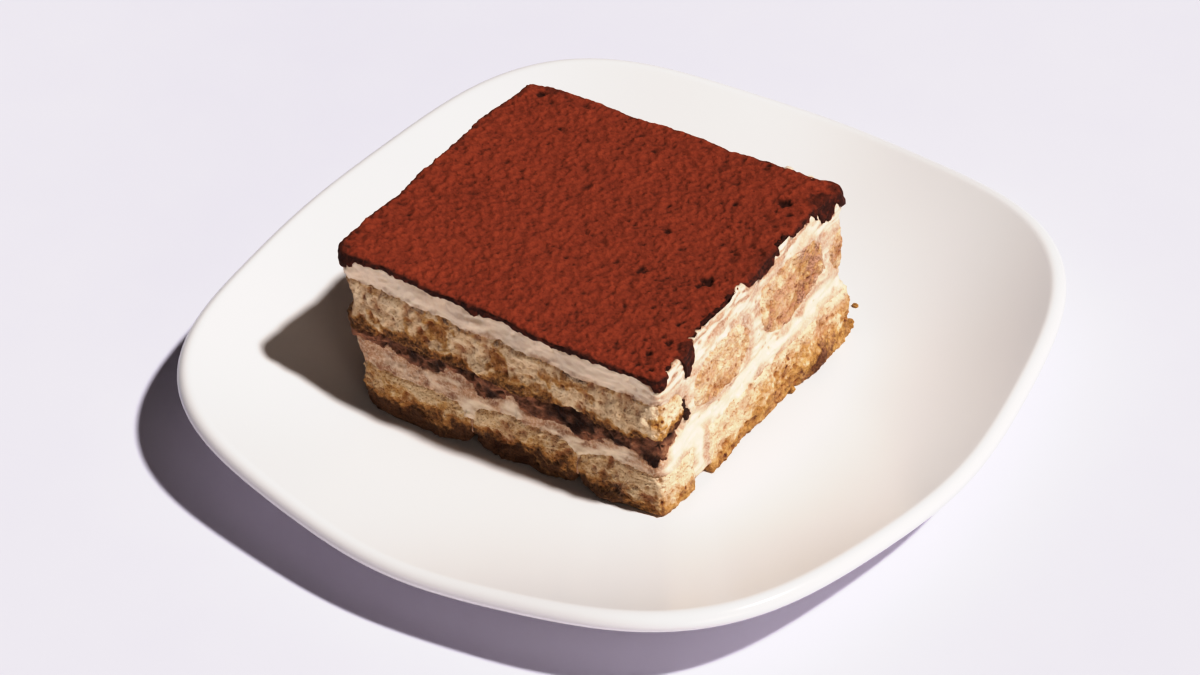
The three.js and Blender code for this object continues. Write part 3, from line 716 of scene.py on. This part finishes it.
def soaked_layer(material):
    """The soaked cocoa under the first finger and up between it and the second: an upright box-shaped
    section carried along the cut, sunk wherever the sponge or the cream comes forward."""
    distance = np.linspace(0, LENGTH, int(LENGTH / FINE) + 1)[:, None]
    low = soaked_floor(distance) - 0.8
    up = np.linspace(0, 1, 36)[None, :-1]
    over = np.linspace(0, 1, 26)[None, :-1]
    across = np.concatenate([0 * up, SOAKED_WIDTH * over, SOAKED_WIDTH + 0 * up,
                             SOAKED_WIDTH * (1 - over)], axis=1) + 0 * distance
    height = np.concatenate([mix(SOAKED_RISE, low, up), low + 0 * over, mix(low, SOAKED_RISE, up),
                             SOAKED_RISE + 0 * over * distance], axis=1)
    middles = 2 * [(SOAKED_WIDTH / 2, SOAKED_MIDDLE)]
    (u, v, w), shape = carried_along(distance, across, height, middles, 16)
    points = place(*cut_sides(u, v, w, soaked_lift), w)
    thick = sum_of_bumps(u, w, THICK_COCOA) + (v > 8)
    crumb = np.minimum(sum_of_bumps(u, w, CRUMB_IN_COCOA), 1) * (v < 8)
    # The hollow mark is for painted shade: the material darkens the gaps between the lumps with it.
    marks = {"wet": ease(0.05 + 0.9 * thick + 0.45 * rough(u, v, w, 2.4, 121, 2)) * (1 - crumb),
             "hollow": ease((0.15 - soaked_relief(u, v, w)) / 0.7)}
    return stands_for(make_piece("soaked_cocoa", points, tube_faces(shape), material, marks),
                      "soaked_cocoa_layer")


# ------------------------------------------------------------------ cream

def around_the_block(low, high, rows):
    """The block's four sides as rings: u and v run round its plan from the left corner, and the height
    runs from low to high, both functions of (u, v)."""
    sides = [(LENGTH, 0.0, 0.0, 1, 0), (WIDTH, LENGTH, 0.0, 0, 1),
             (LENGTH, LENGTH, WIDTH, -1, 0), (WIDTH, 0.0, WIDTH, 0, -1)]
    u, v = [], []
    for length, from_u, from_v, du, dv in sides:
        way = length * np.arange(int(length / FINE)) / int(length / FINE)
        u.append(from_u + du * way)
        v.append(from_v + dv * way)
    u, v = np.concatenate(u), np.concatenate(v)
    share = np.linspace(0, 1, rows)[:, None]
    return u + 0 * share, v + 0 * share, mix(low(u, v), high(u, v), share)


def cream_layer(name, node, low, high, top, seam, material):
    """A layer of cream: its four cut sides, and a cover below and above, each of rings that shrink to the
    middle, inside the slice and no higher than `top`. The layers' sides dip where they pass at the seam."""
    tall = float(np.max(high(0.0, 30.0)) - np.min(low(0.0, 30.0)))
    u, v, w = around_the_block(low, high, int(tall / FINE) + 2)
    shrink = np.array([0.3, 0.65, 0.93, 0.98])[:, None]
    below, above = (
        (mix(LENGTH / 2, u[k], s), mix(WIDTH / 2, v[k], s), w[k] + 0 * s)
        for k, s in ((0, shrink), (-1, shrink[::-1])))
    rows = [np.concatenate(parts) for parts in zip(below, (u, v, w), above)]
    rows[2][-len(shrink):] = np.minimum(rows[2][-len(shrink):], top)
    bottom, crown = ((LENGTH / 2, WIDTH / 2, height) for height in (w[0].mean(), min(top, w[-1].mean())))
    u, v, w = listed(rows, bottom, crown)
    points = place(*cut_sides(u, v, w, lambda *at: cream_lift(*at) - 1.4 * ease(seam(at[2]) / 0.8)), w)
    piece = make_piece(name, points, tube_faces(rows[0].shape), material, cream_marks(u, v, w))
    return stands_for(piece, node)


# Where the lower cream on the left-front cut is kept clear of its broad brown, which is partly painted shade,
# and where it has brown smears: (u, w, spread).
CLEAN_CREAM = [(45, 15, 4.5), (72, 14.5, 5), (34, 11, 3.2), (57, 12.5, 4)]
DIRTY_CREAM = [(33, 15.3, 2.2), (49.5, 14.8, 1.9), (66, 14.6, 2), (17, 17.3, 2.2), (20, 13.5, 1.8),
               (4, 15, 2.5), (9, 11.5, 2)]
# Where soaked crumb has been dragged over the cream on the right-front cut: (v, w, spread).
DRAGGED_CRUMB = [(62, 37, 3), (50, 37.5, 2.6), (74, 20, 3), (14, 24, 2.6), (39, 26, 2.6), (36, 38.5, 2)]


def cream_marks(u, v, w):
    """Where coffee, cocoa and crumb have been dragged into the cream: beside the soaked layer and the
    fingers and in the lower cream on the left-front cut, in rows and specks on the right-front one. The
    lower cream's brown on the left-front cut is partly painted shade. A faint brown tint over the cream of
    every cut but the right-front one, fading out towards the front corner, is painted shade alone."""
    rows = waves(0.12 * (u + v), 0 * u, w, 1.1, 131) + 0.8 * waves(0.3 * (u + v), 0 * u, w, 0.6, 132)
    cloud = rough(u, v, w, 4.5, 133, 2)
    depth, lit = inside_fingers(u, v, w), right_front(u)
    near_soaked = ease((3.2 + 1.5 * cloud + inside_soaked(u, v, w)) / 3.0) * (v < 6)
    clean = sum_of_bumps(u, w, CLEAN_CREAM)
    dirty = np.minimum(sum_of_bumps(u, w, DIRTY_CREAM), 1)
    # The lower cream on the left-front cut is browned all over, less at the clean places and more at the
    # smears: partly real smears, partly painted shade for the dimmer light low on that cut.
    lower = np.maximum(0, 0.7 + 0.5 * cloud + 0.25 * rows - 1.1 * clean + 0.9 * dirty)
    lower = (w < 20) * (v < 6) * (1 - lit) * lower
    under_cocoa = 0.8 * bump(w, 40.5, 3.0) * ease(0.5 + 1.0 * rows)
    streaky = lit * (under_cocoa + 0.5 * (w > 20) * ease(0.3 + 1.0 * rows))
    specks = 0.9 * lit * (w > 18) * ease(2.4 * pores(u, v, w, 1.8, 135, 0.5) - 0.6)
    # A faint brown tint over the cream of every cut but the right-front one, fading out towards the front
    # corner: painted shade, for the warmer, duller light on the cuts in shade.
    shade = 0.16 * (1 - lit) * ease((74 - u) / 14) * ease(0.7 + 0.5 * cloud + 0.9 * rows)
    fingers = 0.8 * ease((mix(1.0, 2.6, lit) + 0.9 * cloud + depth) / 1.8) * ease(0.9 + cloud)
    break_cream = (u > 80) * plateau(v, 10, 21, 1.0)
    joint = ease((8.8 - w) / 0.8) * (1 - break_cream) + 0.4 * ease((8 - w) / 5) * break_cream
    dragged = 0.75 * lit * np.minimum(sum_of_bumps(v, w, DRAGGED_CRUMB), 1) * ease(0.7 + cloud)
    stain = np.max([0.95 * near_soaked, lower, streaky, shade, fingers, dragged], axis=0)
    return {"stain": np.max([stain * (1 + 0.25 * rows), joint, specks], axis=0)}


# ------------------------------------------------------------------ cocoa

def powder_relief(u, v):
    """Sifted cocoa: soft mounds, fine grain, small pits and a few torn hollows."""
    flat = 0 * u
    mounds = (0.26 * pores(u, v, flat, 2.2, 141) + 0.32 * pores(u, v, flat, 1.05, 146)
              + 0.20 * waves(u, v, flat, 1.7, 171) + 0.28 * waves(u, v, flat, 0.85, 172))
    towards_right = ease((u - 40) / 40)
    relief = (mounds - 0.3 + 0.14 * rough(u, v, flat, 3.4, 143, 2)
              - 0.55 * pores(u, v, flat, 2.1, 145, 0.07 + 0.14 * towards_right)
              - 0.45 * pores(u, v, flat, 1.1, 151, 0.22 + 0.25 * towards_right))
    ragged = 0.55 * waves(u, v, flat, 1.0, 161) + 0.35 * waves(u, v, flat, 0.5, 162)
    for hu, hv, spread, depth in TORN_HOLLOWS:
        away = np.hypot(u - hu, v - hv) / spread + ragged
        relief = relief - depth * ease(1.25 - away)
    return relief


def rim_lift(u, v):
    """How far the cocoa stands out over its cut, or back where cream lies over it."""
    return mix(0.35, -0.7, cream_over(u, v))


def drawn_to_the_cut(u, v):
    """Draws a plan of the block out to the cut at the cocoa's rim: a point on a side moves as the cut does,
    and points up to RIM_REACH further in move less and less. Gives also the distance in from the nearest
    side."""
    side_u, side_v = LENGTH * (u > LENGTH / 2), WIDTH * (v > WIDTH / 2)
    moves = []
    for a, b in ((side_u, v), (u, side_v)):
        to_u, to_v = cut_sides(a, b, HEIGHT + 0 * a, lambda *at: cocoa_side_relief(*at) + rim_lift(*at[:2]))
        moves.append((to_u - a, to_v - b))
    away_u, away_v = np.abs(u - side_u) + 1e-6, np.abs(v - side_v) + 1e-6
    share = away_u ** 2 / (away_u ** 2 + away_v ** 2)
    inland = np.minimum(away_u, away_v)
    keep = ease(1 - inland / RIM_REACH)
    move_u, move_v = (keep * mix(a, b, share) for a, b in zip(*moves))
    return u + move_u, v + move_v, inland


def powder_marks(u, v, inland):
    """Marks of the powdered top: dark in its pits and torn hollows, with a faint darkening over all its low
    ground that is painted shade, and dark and moist near the cuts, in a ragged band along the right-front
    one, and over the runs."""
    powder = powder_relief(u, v)
    # The second, faint term darkens all low ground between the mounds: painted shade.
    hollow = np.maximum(np.clip(-powder / 0.5 - 0.85, 0, 1), 0.22 * ease(-powder / 0.6))
    band = 0.7 + 1.5 * right_front(u) * ease(0.5 + waves(u, v, 0 * u, 2.2, 171))
    moist = 0.8 * ease((cocoa_runs(u, v) - 0.6) / 2.5)
    return hollow, np.maximum(ease(1 - inland / band) * 0.75, moist)


def cocoa_layer(material):
    """The cocoa: a square grid drawn to the cut's outline for its powdered top, then rings down its ragged
    cut sides and in under it to the middle."""
    plan_u, plan_v = np.meshgrid(np.linspace(0, LENGTH, POWDER_CELLS + 1),
                                 np.linspace(0, WIDTH, POWDER_CELLS + 1), indexing="ij")
    top_u, top_v, inland = drawn_to_the_cut(plan_u, plan_v)
    top = (cocoa_top_height(top_u, top_v) + powder_relief(top_u, top_v) * ease(inland / 0.5 + 0.3)
           - 0.55 * ease(1 - inland / 0.8) ** 2)
    count = top.size
    number = np.arange(count).reshape(top.shape)
    border = np.concatenate([number[:-1, 0], number[-1, :-1], number[:0:-1, -1], number[0, :0:-1]])

    down = np.linspace(0, 1, 17)[1:, None]
    side_u, side_v = (plan.ravel()[border] for plan in (plan_u, plan_v))
    side_w = mix(top.ravel()[border], cocoa_edge(side_u, side_v), down)
    side_u, side_v = side_u + 0 * down, side_v + 0 * down
    tuck = rim_lift(side_u, side_v) + 0.20 * ease(down / 0.3) - 0.9 * ease((down - 0.85) / 0.15)
    skirt_u, skirt_v = cut_sides(side_u, side_v, side_w, lambda *at: cocoa_side_relief(*at) + tuck)
    inwards = np.array([0.96, 0.9, 0.6, 0.3])[:, None]
    under_u, under_v = mix(LENGTH / 2, side_u[-1], inwards), mix(WIDTH / 2, side_v[-1], inwards)
    u, v, w = (np.concatenate([above.ravel(), skirt.ravel(), under.ravel(), [middle]])
               for above, skirt, under, middle in (
                   (top_u, skirt_u, under_u, LENGTH / 2), (top_v, skirt_v, under_v, WIDTH / 2),
                   (top, side_w, COCOA_FLOOR + 0 * under_u, COCOA_FLOOR)))

    rows = len(down) + len(inwards)
    rings = np.concatenate([border[None, :], count + np.arange(rows * len(border)).reshape(rows, -1)])
    squares = np.stack([number[:-1, :-1], number[1:, :-1], number[1:, 1:], number[:-1, 1:]],
                       axis=-1).reshape(-1, 4)
    faces = (np.concatenate([squares, ring_faces(rings)[:, ::-1]]), fan_faces(rings[-1], len(u) - 1))
    hollow, cut = np.zeros(len(u)), np.ones(len(u))
    hollow[:count], cut[:count] = powder_marks(u[:count], v[:count], inland.ravel())
    piece = make_piece("cocoa_dusting", place(u, v, w), faces, material, {"hollow": hollow, "cut": cut})
    return stands_for(piece, "cocoa_top")


# ------------------------------------------------------------------ loose bits

def loose_bits(name, places, seed, material, marks):
    """Small lumps: a ball of rings for each place (u, v, w, length, height), with a rough radius."""
    turn = np.linspace(0, 2 * np.pi, 20, endpoint=False)[None, :]
    tilt = np.linspace(0, np.pi, 13)[1:-1, None]
    ball = (np.sin(tilt) * np.cos(turn), np.sin(tilt) * np.sin(turn), np.cos(tilt) + 0 * turn)
    direction = np.stack(listed(ball, (0, 0, 1), (0, 0, -1)), axis=-1)
    quads, triangles = tube_faces((len(tilt), turn.shape[1]))
    points, all_quads, all_triangles = [], [], []
    for count, (u, v, w, length, height) in enumerate(places):
        middle = place(np.array(u, float), np.array(v, float), np.array(w, float))
        size = np.array([length, 0.8 * length, height]) / 2
        shape = 1 + 0.28 * rough(*(2.0 * direction + 7.3 * count).T, 1.1, seed)
        points.append(middle + direction * size * shape[:, None])
        all_quads.append(quads + count * len(direction))
        all_triangles.append(triangles + count * len(direction))
    points = np.concatenate(points)
    faces = np.concatenate(all_quads), np.concatenate(all_triangles)
    piece = make_piece(name, points, faces, material,
                       {mark: np.full(len(points), value) for mark, value in marks.items()})
    return piece


# ------------------------------------------------------------------ materials

def add(tree, kind, inputs=None, **settings):
    """A node with its settings; an input is a value, or another node's output to link."""
    made = tree.nodes.new(kind)
    for key, value in settings.items():
        setattr(made, key, value)
    for key, value in (inputs or {}).items():
        if isinstance(value, bpy.types.NodeSocket):
            tree.links.new(value, made.inputs[key])
        else:
            made.inputs[key].default_value = value
    return made


def blend_colours(tree, share, low, high, how="MIX"):
    """Mixes two colours, each a socket or three values as on a screen; the share may be a socket."""
    low, high = (c if isinstance(c, bpy.types.NodeSocket) else colour(*c) for c in (low, high))
    made = add(tree, "ShaderNodeMix", {0: share, 6: low, 7: high}, data_type="RGBA", blend_type=how)
    return made.outputs[2]


def sums(tree, operation, a, b, clamp=False):
    """A sum, difference, product or the like of two values, kept to 0..1 on request."""
    return add(tree, "ShaderNodeMath", {0: a, 1: b}, operation=operation, use_clamp=clamp).outputs[0]


def between(tree, value, low, high, out_low=0.0, out_high=1.0):
    """Eases a value from low..high to out_low..out_high."""
    return add(tree, "ShaderNodeMapRange", {"Value": value, "From Min": low, "From Max": high,
                                            "To Min": out_low, "To Max": out_high},
               interpolation_type="SMOOTHSTEP").outputs[0]


def colour(red, green, blue):
    """A colour given as it looks on a screen, 0 to 255, as the linear values that shaders take."""
    linear = [c / 255 / 12.92 if c < 10.3 else ((c / 255 + 0.055) / 1.055) ** 2.4 for c in (red, green, blue)]
    return (*linear, 1.0)


def new_group(name, inputs, outputs):
    """An empty node group with named inputs (name: value) and outputs (name: socket type)."""
    group = bpy.data.node_groups.new(name, "ShaderNodeTree")
    for key, value in inputs.items():
        socket = group.interface.new_socket(key, in_out="INPUT", socket_type="NodeSocketFloat")
        socket.default_value = value
    for key, kind in outputs.items():
        group.interface.new_socket(key, in_out="OUTPUT", socket_type=kind)
    return group, add(group, "NodeGroupInput"), add(group, "NodeGroupOutput")


def grain_group():
    """Fine grain: noise of a size in mm, as a mask between 0 and 1, and as a coarser cloud."""
    group, given, out = new_group("Food grain", {"Size": 0.5, "Cloud size": 4.0, "Contrast": 0.5},
                                  {"Grain": "NodeSocketFloat", "Cloud": "NodeSocketFloat"})
    where = add(group, "ShaderNodeTexCoord").outputs["Object"]
    for size, output, detail in (("Size", "Grain", 3.0), ("Cloud size", "Cloud", 2.0)):
        scale = sums(group, "DIVIDE", 1000.0, given.outputs[size])
        noise = add(group, "ShaderNodeTexNoise", {"Vector": where, "Scale": scale, "Detail": detail,
                                                  "Roughness": 0.6})
        spread = sums(group, "SUBTRACT", noise.outputs[0], 0.5)
        strong = sums(group, "MULTIPLY", spread, sums(group, "DIVIDE", 1.0, given.outputs["Contrast"]))
        group.links.new(sums(group, "ADD", strong, 0.5, clamp=True), out.inputs[output])
    return group


def pore_group():
    """Open crumb: round hollows of a size in mm, as a mask that is 1 in the hollows."""
    group, given, out = new_group("Open crumb", {"Size": 1.2, "Width": 0.35}, {"Pores": "NodeSocketFloat"})
    where = add(group, "ShaderNodeTexCoord").outputs["Object"]
    bent = add(group, "ShaderNodeTexNoise", {"Vector": where, "Scale": 600.0, "Detail": 2.0})
    shift = add(group, "ShaderNodeVectorMath", {0: bent.outputs["Color"], "Scale": 0.9 * MM},
                operation="SCALE")
    moved = add(group, "ShaderNodeVectorMath", {0: where, 1: shift.outputs[0]}, operation="ADD")
    scale = sums(group, "DIVIDE", 1000.0, given.outputs["Size"])
    cells = add(group, "ShaderNodeTexVoronoi", {"Vector": moved.outputs[0], "Scale": scale})
    mask = between(group, cells.outputs["Distance"], given.outputs["Width"], 0.08)
    group.links.new(mask, out.inputs["Pores"])
    return group


def start_material(name):
    """A new material: itself, its node tree and its shader."""
    material = bpy.data.materials.new(name)
    material.use_nodes = True
    tree = material.node_tree
    tree.nodes.clear()
    shader = add(tree, "ShaderNodeBsdfPrincipled")
    out = add(tree, "ShaderNodeOutputMaterial")
    tree.links.new(shader.outputs[0], out.inputs[0])
    return material, tree, shader


def finish_surface(tree, shader, base, roughness, height, distance_mm, strength=1.0, specular=0.3):
    """Feeds a material's shader: its colour, its roughness, its shine and a bump of a height in mm."""
    tree.links.new(base, shader.inputs["Base Color"])
    if isinstance(roughness, bpy.types.NodeSocket):
        tree.links.new(roughness, shader.inputs["Roughness"])
    else:
        shader.inputs["Roughness"].default_value = roughness
    relief = add(tree, "ShaderNodeBump", {"Height": height, "Distance": distance_mm * MM,
                                          "Strength": strength})
    tree.links.new(relief.outputs[0], shader.inputs["Normal"])
    shader.inputs["Specular IOR Level"].default_value = specular


def mark(tree, name):
    """A mark that the mesh carries, 0 to 1."""
    return add(tree, "ShaderNodeAttribute", attribute_name=name).outputs["Fac"]


def grain(tree, group, size, cloud, contrast):
    """Places the grain group, and gives its fine grain and its coarser cloud."""
    made = add(tree, "ShaderNodeGroup", {"Size": size, "Cloud size": cloud, "Contrast": contrast},
               node_tree=group)
    return made.outputs["Grain"], made.outputs["Cloud"]


def porcelain_material(grains):
    """White glazed porcelain, slightly warm, with the glaze's faint ripple."""
    material, tree, shader = start_material("white_porcelain")
    ripple, cloud = grain(tree, grains, 14.0, 60.0, 0.6)
    base = blend_colours(tree, cloud, (242, 238, 237), (244, 240, 238))
    glaze = between(tree, ripple, 0.0, 1.0, 0.16, 0.24)
    finish_surface(tree, shader, base, glaze, ripple, 0.03, 0.5, specular=0.5)
    return material


def cocoa_material(grains):
    """Dry red-brown cocoa on top, near black where it is torn open or cut through and moist, and faintly
    darker on its low ground as painted shade.
    """
    material, tree, shader = start_material("cocoa_powder")
    fine, cloud = grain(tree, grains, 0.6, 7.0, 0.7)
    tiny, patch = grain(tree, grains, 0.25, 1.5, 0.5)
    dry = blend_colours(tree, cloud, (146, 71, 48), (156, 78, 52))
    dry = blend_colours(tree, between(tree, fine, 0.0, 0.7), (126, 57, 40), dry)
    specks = sums(tree, "MULTIPLY", between(tree, patch, 0.16, 0.04), 0.5)
    dry = blend_colours(tree, specks, dry, (70, 26, 19))
    moist = blend_colours(tree, fine, (40, 21, 17), (88, 44, 34))
    dusted = sums(tree, "MULTIPLY", mark(tree, "cut"), between(tree, patch, 0.75, 0.45, 0.7, 1.0))
    # The hollow mark is partly painted shade: the faint darkening of low ground between the mounds.
    base = blend_colours(tree, sums(tree, "MAXIMUM", mark(tree, "hollow"), dusted), dry, moist)
    rough_top = sums(tree, "SUBTRACT", 0.98, sums(tree, "MULTIPLY", mark(tree, "cut"), 0.3))
    finish_surface(tree, shader, base, rough_top, sums(tree, "ADD", fine, tiny), 0.14, specular=0.15)
    return material


def cream_material(grains):
    """Mascarpone cream: warm white, stained pink and brown where cocoa and coffee are dragged through it."""
    material, tree, shader = start_material("mascarpone_cream")
    fine, cloud = grain(tree, grains, 0.6, 4.0, 0.5)
    base = blend_colours(tree, cloud, (247, 223, 196), (252, 231, 208))
    stain = sums(tree, "MULTIPLY", mark(tree, "stain"), between(tree, fine, 0.0, 0.8, 0.45, 1.0))
    base = blend_colours(tree, stain, base, blend_colours(tree, cloud, (210, 162, 128), (140, 94, 70)))
    satin = between(tree, cloud, 0.0, 1.0, 0.42, 0.60)
    finish_surface(tree, shader, base, satin, fine, 0.08, 0.7, specular=0.5)
    shader.inputs["Subsurface Weight"].default_value = 0.12
    shader.inputs["Subsurface Radius"].default_value = (1.0, 0.7, 0.45)
    shader.inputs["Subsurface Scale"].default_value = 0.0015
    return material


def sponge_material(grains, open_crumb):
    """Sponge crumb: pale where it is dry, golden and then dark brown as it is browned or soaked, darker in
    its hollows and pores as painted shade, stained pink by coffee and smeared with cream."""
    material, tree, shader = start_material("sponge_crumb")
    fine, cloud = grain(tree, grains, 0.6, 3.0, 0.4)
    patchy = grain(tree, grains, 1.0, 5.0, 0.3)[0]
    holes = add(tree, "ShaderNodeGroup", {"Size": 0.8}, node_tree=open_crumb).outputs[0]
    uneven = sums(tree, "MULTIPLY", sums(tree, "SUBTRACT", patchy, 0.5), 0.3)
    wet = sums(tree, "ADD", mark(tree, "soak"), uneven, clamp=True)
    dry = blend_colours(tree, cloud, (238, 206, 170), (249, 224, 191))
    golden = blend_colours(tree, cloud, (181, 130, 74), (209, 163, 102))
    dark = blend_colours(tree, fine, (72, 42, 22), (116, 74, 42))
    base = blend_colours(tree, between(tree, wet, 0.0, 0.55), dry, golden)
    base = blend_colours(tree, between(tree, wet, 0.45, 0.95), base, dark)
    pink = sums(tree, "MULTIPLY", mark(tree, "stain"), between(tree, fine, 0.1, 0.8, 0.3, 1.0))
    base = blend_colours(tree, pink, base, (208, 156, 130))
    smeared = sums(tree, "MULTIPLY", mark(tree, "smear"), between(tree, fine, 0.2, 0.7, 0.3, 1.0))
    base = blend_colours(tree, smeared, base, (246, 224, 196))
    # Painted shade: the hollow mark and the open-crumb pores darken the colour, on top of their bump.
    hollows = sums(tree, "ADD", mark(tree, "hollow"), sums(tree, "MULTIPLY", holes, 0.5), clamp=True)
    base = blend_colours(tree, sums(tree, "MULTIPLY", hollows, 0.75), base, (172, 124, 90), "MULTIPLY")
    height = sums(tree, "SUBTRACT", fine, sums(tree, "MULTIPLY", holes, 0.6))
    finish_surface(tree, shader, base, between(tree, wet, 0.0, 1.0, 0.92, 0.65), height, 0.25, 0.9)
    return material


def soaked_material(grains):
    """Cocoa and sponge soaked in coffee: near black and a little wet, browner where it is thin, and darker
    in the gaps between its lumps as painted shade.
    """
    material, tree, shader = start_material("soaked_cocoa")
    fine, cloud = grain(tree, grains, 0.6, 2.5, 0.4)
    thin = blend_colours(tree, cloud, (112, 72, 54), (188, 138, 108))
    thick = blend_colours(tree, fine, (38, 20, 15), (86, 50, 36))
    base = blend_colours(tree, mark(tree, "wet"), thin, thick)
    # Painted shade in the gaps between the lumps.
    base = blend_colours(tree, sums(tree, "MULTIPLY", mark(tree, "hollow"), 0.7), base, (26, 13, 10))
    finish_surface(tree, shader, base, between(tree, fine, 0.0, 1.0, 0.6, 0.85), fine, 0.25)
    return material


def cloth_material(grains):
    """A pale lavender-white cloth with a very faint weave."""
    material, tree, shader = start_material("pale_cloth")
    fine, cloud = grain(tree, grains, 0.8, 30.0, 0.6)
    base = blend_colours(tree, cloud, (231, 228, 243), (234, 231, 245))
    finish_surface(tree, shader, base, 0.9, fine, 0.03, 0.3, specular=0.1)
    return material


# ------------------------------------------------------------------ floor, light and camera

FLOOR_REACH = 2500.0
# Lights: name, direction towards it, strength, angle across in degrees, colour.
LIGHTS = [
    ("key", (0.65, 0.17, 1.0), 3.46, 4.0, (1.0, 0.98, 0.97)),
    ("glow", (0.65, 0.17, 1.0), 0.03, 90.0, (1.0, 1.0, 1.0)),
    ("front fill", (0.88, -0.56, 0.15), 0.80, 30.0, (1.0, 0.90, 0.78)),
]
SKY_COLOUR, SKY_STRENGTH = (1.0, 0.74, 0.70, 1.0), 0.03
# The film's response, from linear to linear: it deepens the shadows and eases off the highlights.
TONE_CURVE = [(0.0, 0.0), (0.03, 0.016), (0.07, 0.043), (0.12, 0.088), (0.2, 0.178), (0.35, 0.355),
              (0.5, 0.535), (0.65, 0.715), (0.8, 0.85), (0.9, 0.895), (1.0, 0.925), (1.2, 0.99)]
CAMERA_PLACE = (442.055, -576.337, 617.958)
CAMERA_TURNS = (-0.66229, 0.69311, -0.0693)         # yaw, pitch and roll, in radians
CAMERA_LENS, SENSOR_WIDTH = 120.526, 36.0


def lay_cloth(material):
    """The floor: one square sheet at the table's height, far larger than the plate."""
    corners = np.array([(-1, -1, 0), (1, -1, 0), (1, 1, 0), (-1, 1, 0)]) * FLOOR_REACH * MM
    mesh = bpy.data.meshes.new("table_cloth")
    mesh.from_pydata(corners.tolist(), [], [(0, 1, 2, 3)])
    mesh.materials.append(material)
    floor = bpy.data.objects.new("table_cloth", mesh)
    bpy.context.scene.collection.objects.link(floor)


def light_scene():
    """A window-like key light from the right with a soft glow round it, a weak fill from the front, and a
    dim warm room."""
    for name, (x, y, z), strength, angle, tint in LIGHTS:
        light = bpy.data.lights.new(name, "SUN")
        light.energy = strength
        light.angle = math.radians(angle)
        light.color = tint
        lamp = bpy.data.objects.new(name, light)
        lamp.rotation_euler = (math.atan2(math.hypot(x, y), z), 0, math.atan2(y, x) + math.pi / 2)
        bpy.context.scene.collection.objects.link(lamp)
    world = bpy.data.worlds.new("soft sky")
    world.use_nodes = True
    sky = world.node_tree.nodes["Background"]
    sky.inputs["Color"].default_value = SKY_COLOUR
    sky.inputs["Strength"].default_value = SKY_STRENGTH
    bpy.context.scene.world = world


def develop():
    """Gives the scene's view the film's response."""
    view = bpy.context.scene.view_settings
    view.view_transform = "Standard"
    view.use_curve_mapping = True
    view.curve_mapping.use_clip = False
    curve = view.curve_mapping.curves[3]
    curve.points[0].location, curve.points[-1].location = TONE_CURVE[0], TONE_CURVE[-1]
    for point in TONE_CURVE[1:-1]:
        curve.points.new(*point)
    view.curve_mapping.update()


def set_camera():
    """The camera, from its place in mm and its turns: yaw round the upright, pitch down and roll."""
    yaw, pitch, roll = CAMERA_TURNS
    forward = np.array([math.sin(yaw) * math.cos(pitch), math.cos(yaw) * math.cos(pitch),
                        -math.sin(pitch)])
    level = np.array([math.cos(yaw), -math.sin(yaw), 0.0])
    upright = np.cross(level, forward)
    right = math.cos(roll) * level + math.sin(roll) * upright
    up = -math.sin(roll) * level + math.cos(roll) * upright
    camera = bpy.data.cameras.new("camera")
    camera.lens, camera.sensor_width = CAMERA_LENS, SENSOR_WIDTH
    camera.clip_start, camera.clip_end = 0.05, 20.0
    view = bpy.data.objects.new("camera", camera)
    placed = np.eye(4)
    placed[:3, 0], placed[:3, 1], placed[:3, 2] = right, up, -forward
    placed[:3, 3] = np.array(CAMERA_PLACE) * MM
    view.matrix_world = placed.T
    bpy.context.scene.collection.objects.link(view)
    bpy.context.scene.camera = view


# ------------------------------------------------------------------ the whole scene

GRAINS = grain_group()
CREAM = cream_material(GRAINS)
SPONGE = sponge_material(GRAINS, pore_group())

porcelain_plate(porcelain_material(GRAINS))
for finger_name in FINGERS:
    sponge_finger(finger_name, SPONGE)
soaked_layer(soaked_material(GRAINS))
cream_layer("lower_cream", "cream_lower", lambda u, v: CREAM_FLOOR + 0 * u,
            lambda u, v: CREAM_SPLIT + 1 + 0 * u, CREAM_SPLIT, lambda w: w - CREAM_SPLIT + 0.4, CREAM)
cream_layer("upper_cream", "cream_upper", lambda u, v: CREAM_SPLIT - 1.2 + 0 * u,
            lambda u, v: cocoa_top_height(u, v) - mix(1.1, 0.35, cream_over(u, v)), CREAM_COVER,
            lambda w: CREAM_SPLIT - 0.4 - w, CREAM)
cocoa_layer(cocoa_material(GRAINS))
loose_bits("cream_flecks", [(73, 77.6, 41.2, 2.6, 1.0), (79, 77.4, 41.0, 2.0, 1.0)],
           201, CREAM, {"stain": 0.15})
loose_bits("sponge_crumbs", [(85.4, 76.2, 2.0, 2.6, 2.4), (85.8, 51, 0.6, 2.2, 1.8),
                             (85.6, 59.5, 1.0, 3.2, 3.0), (81.8, 84.5, 0.1, 1.5, 0.9)],
           205, SPONGE, {"soak": 0.6})

lay_cloth(cloth_material(GRAINS))
light_scene()
develop()
set_camera()
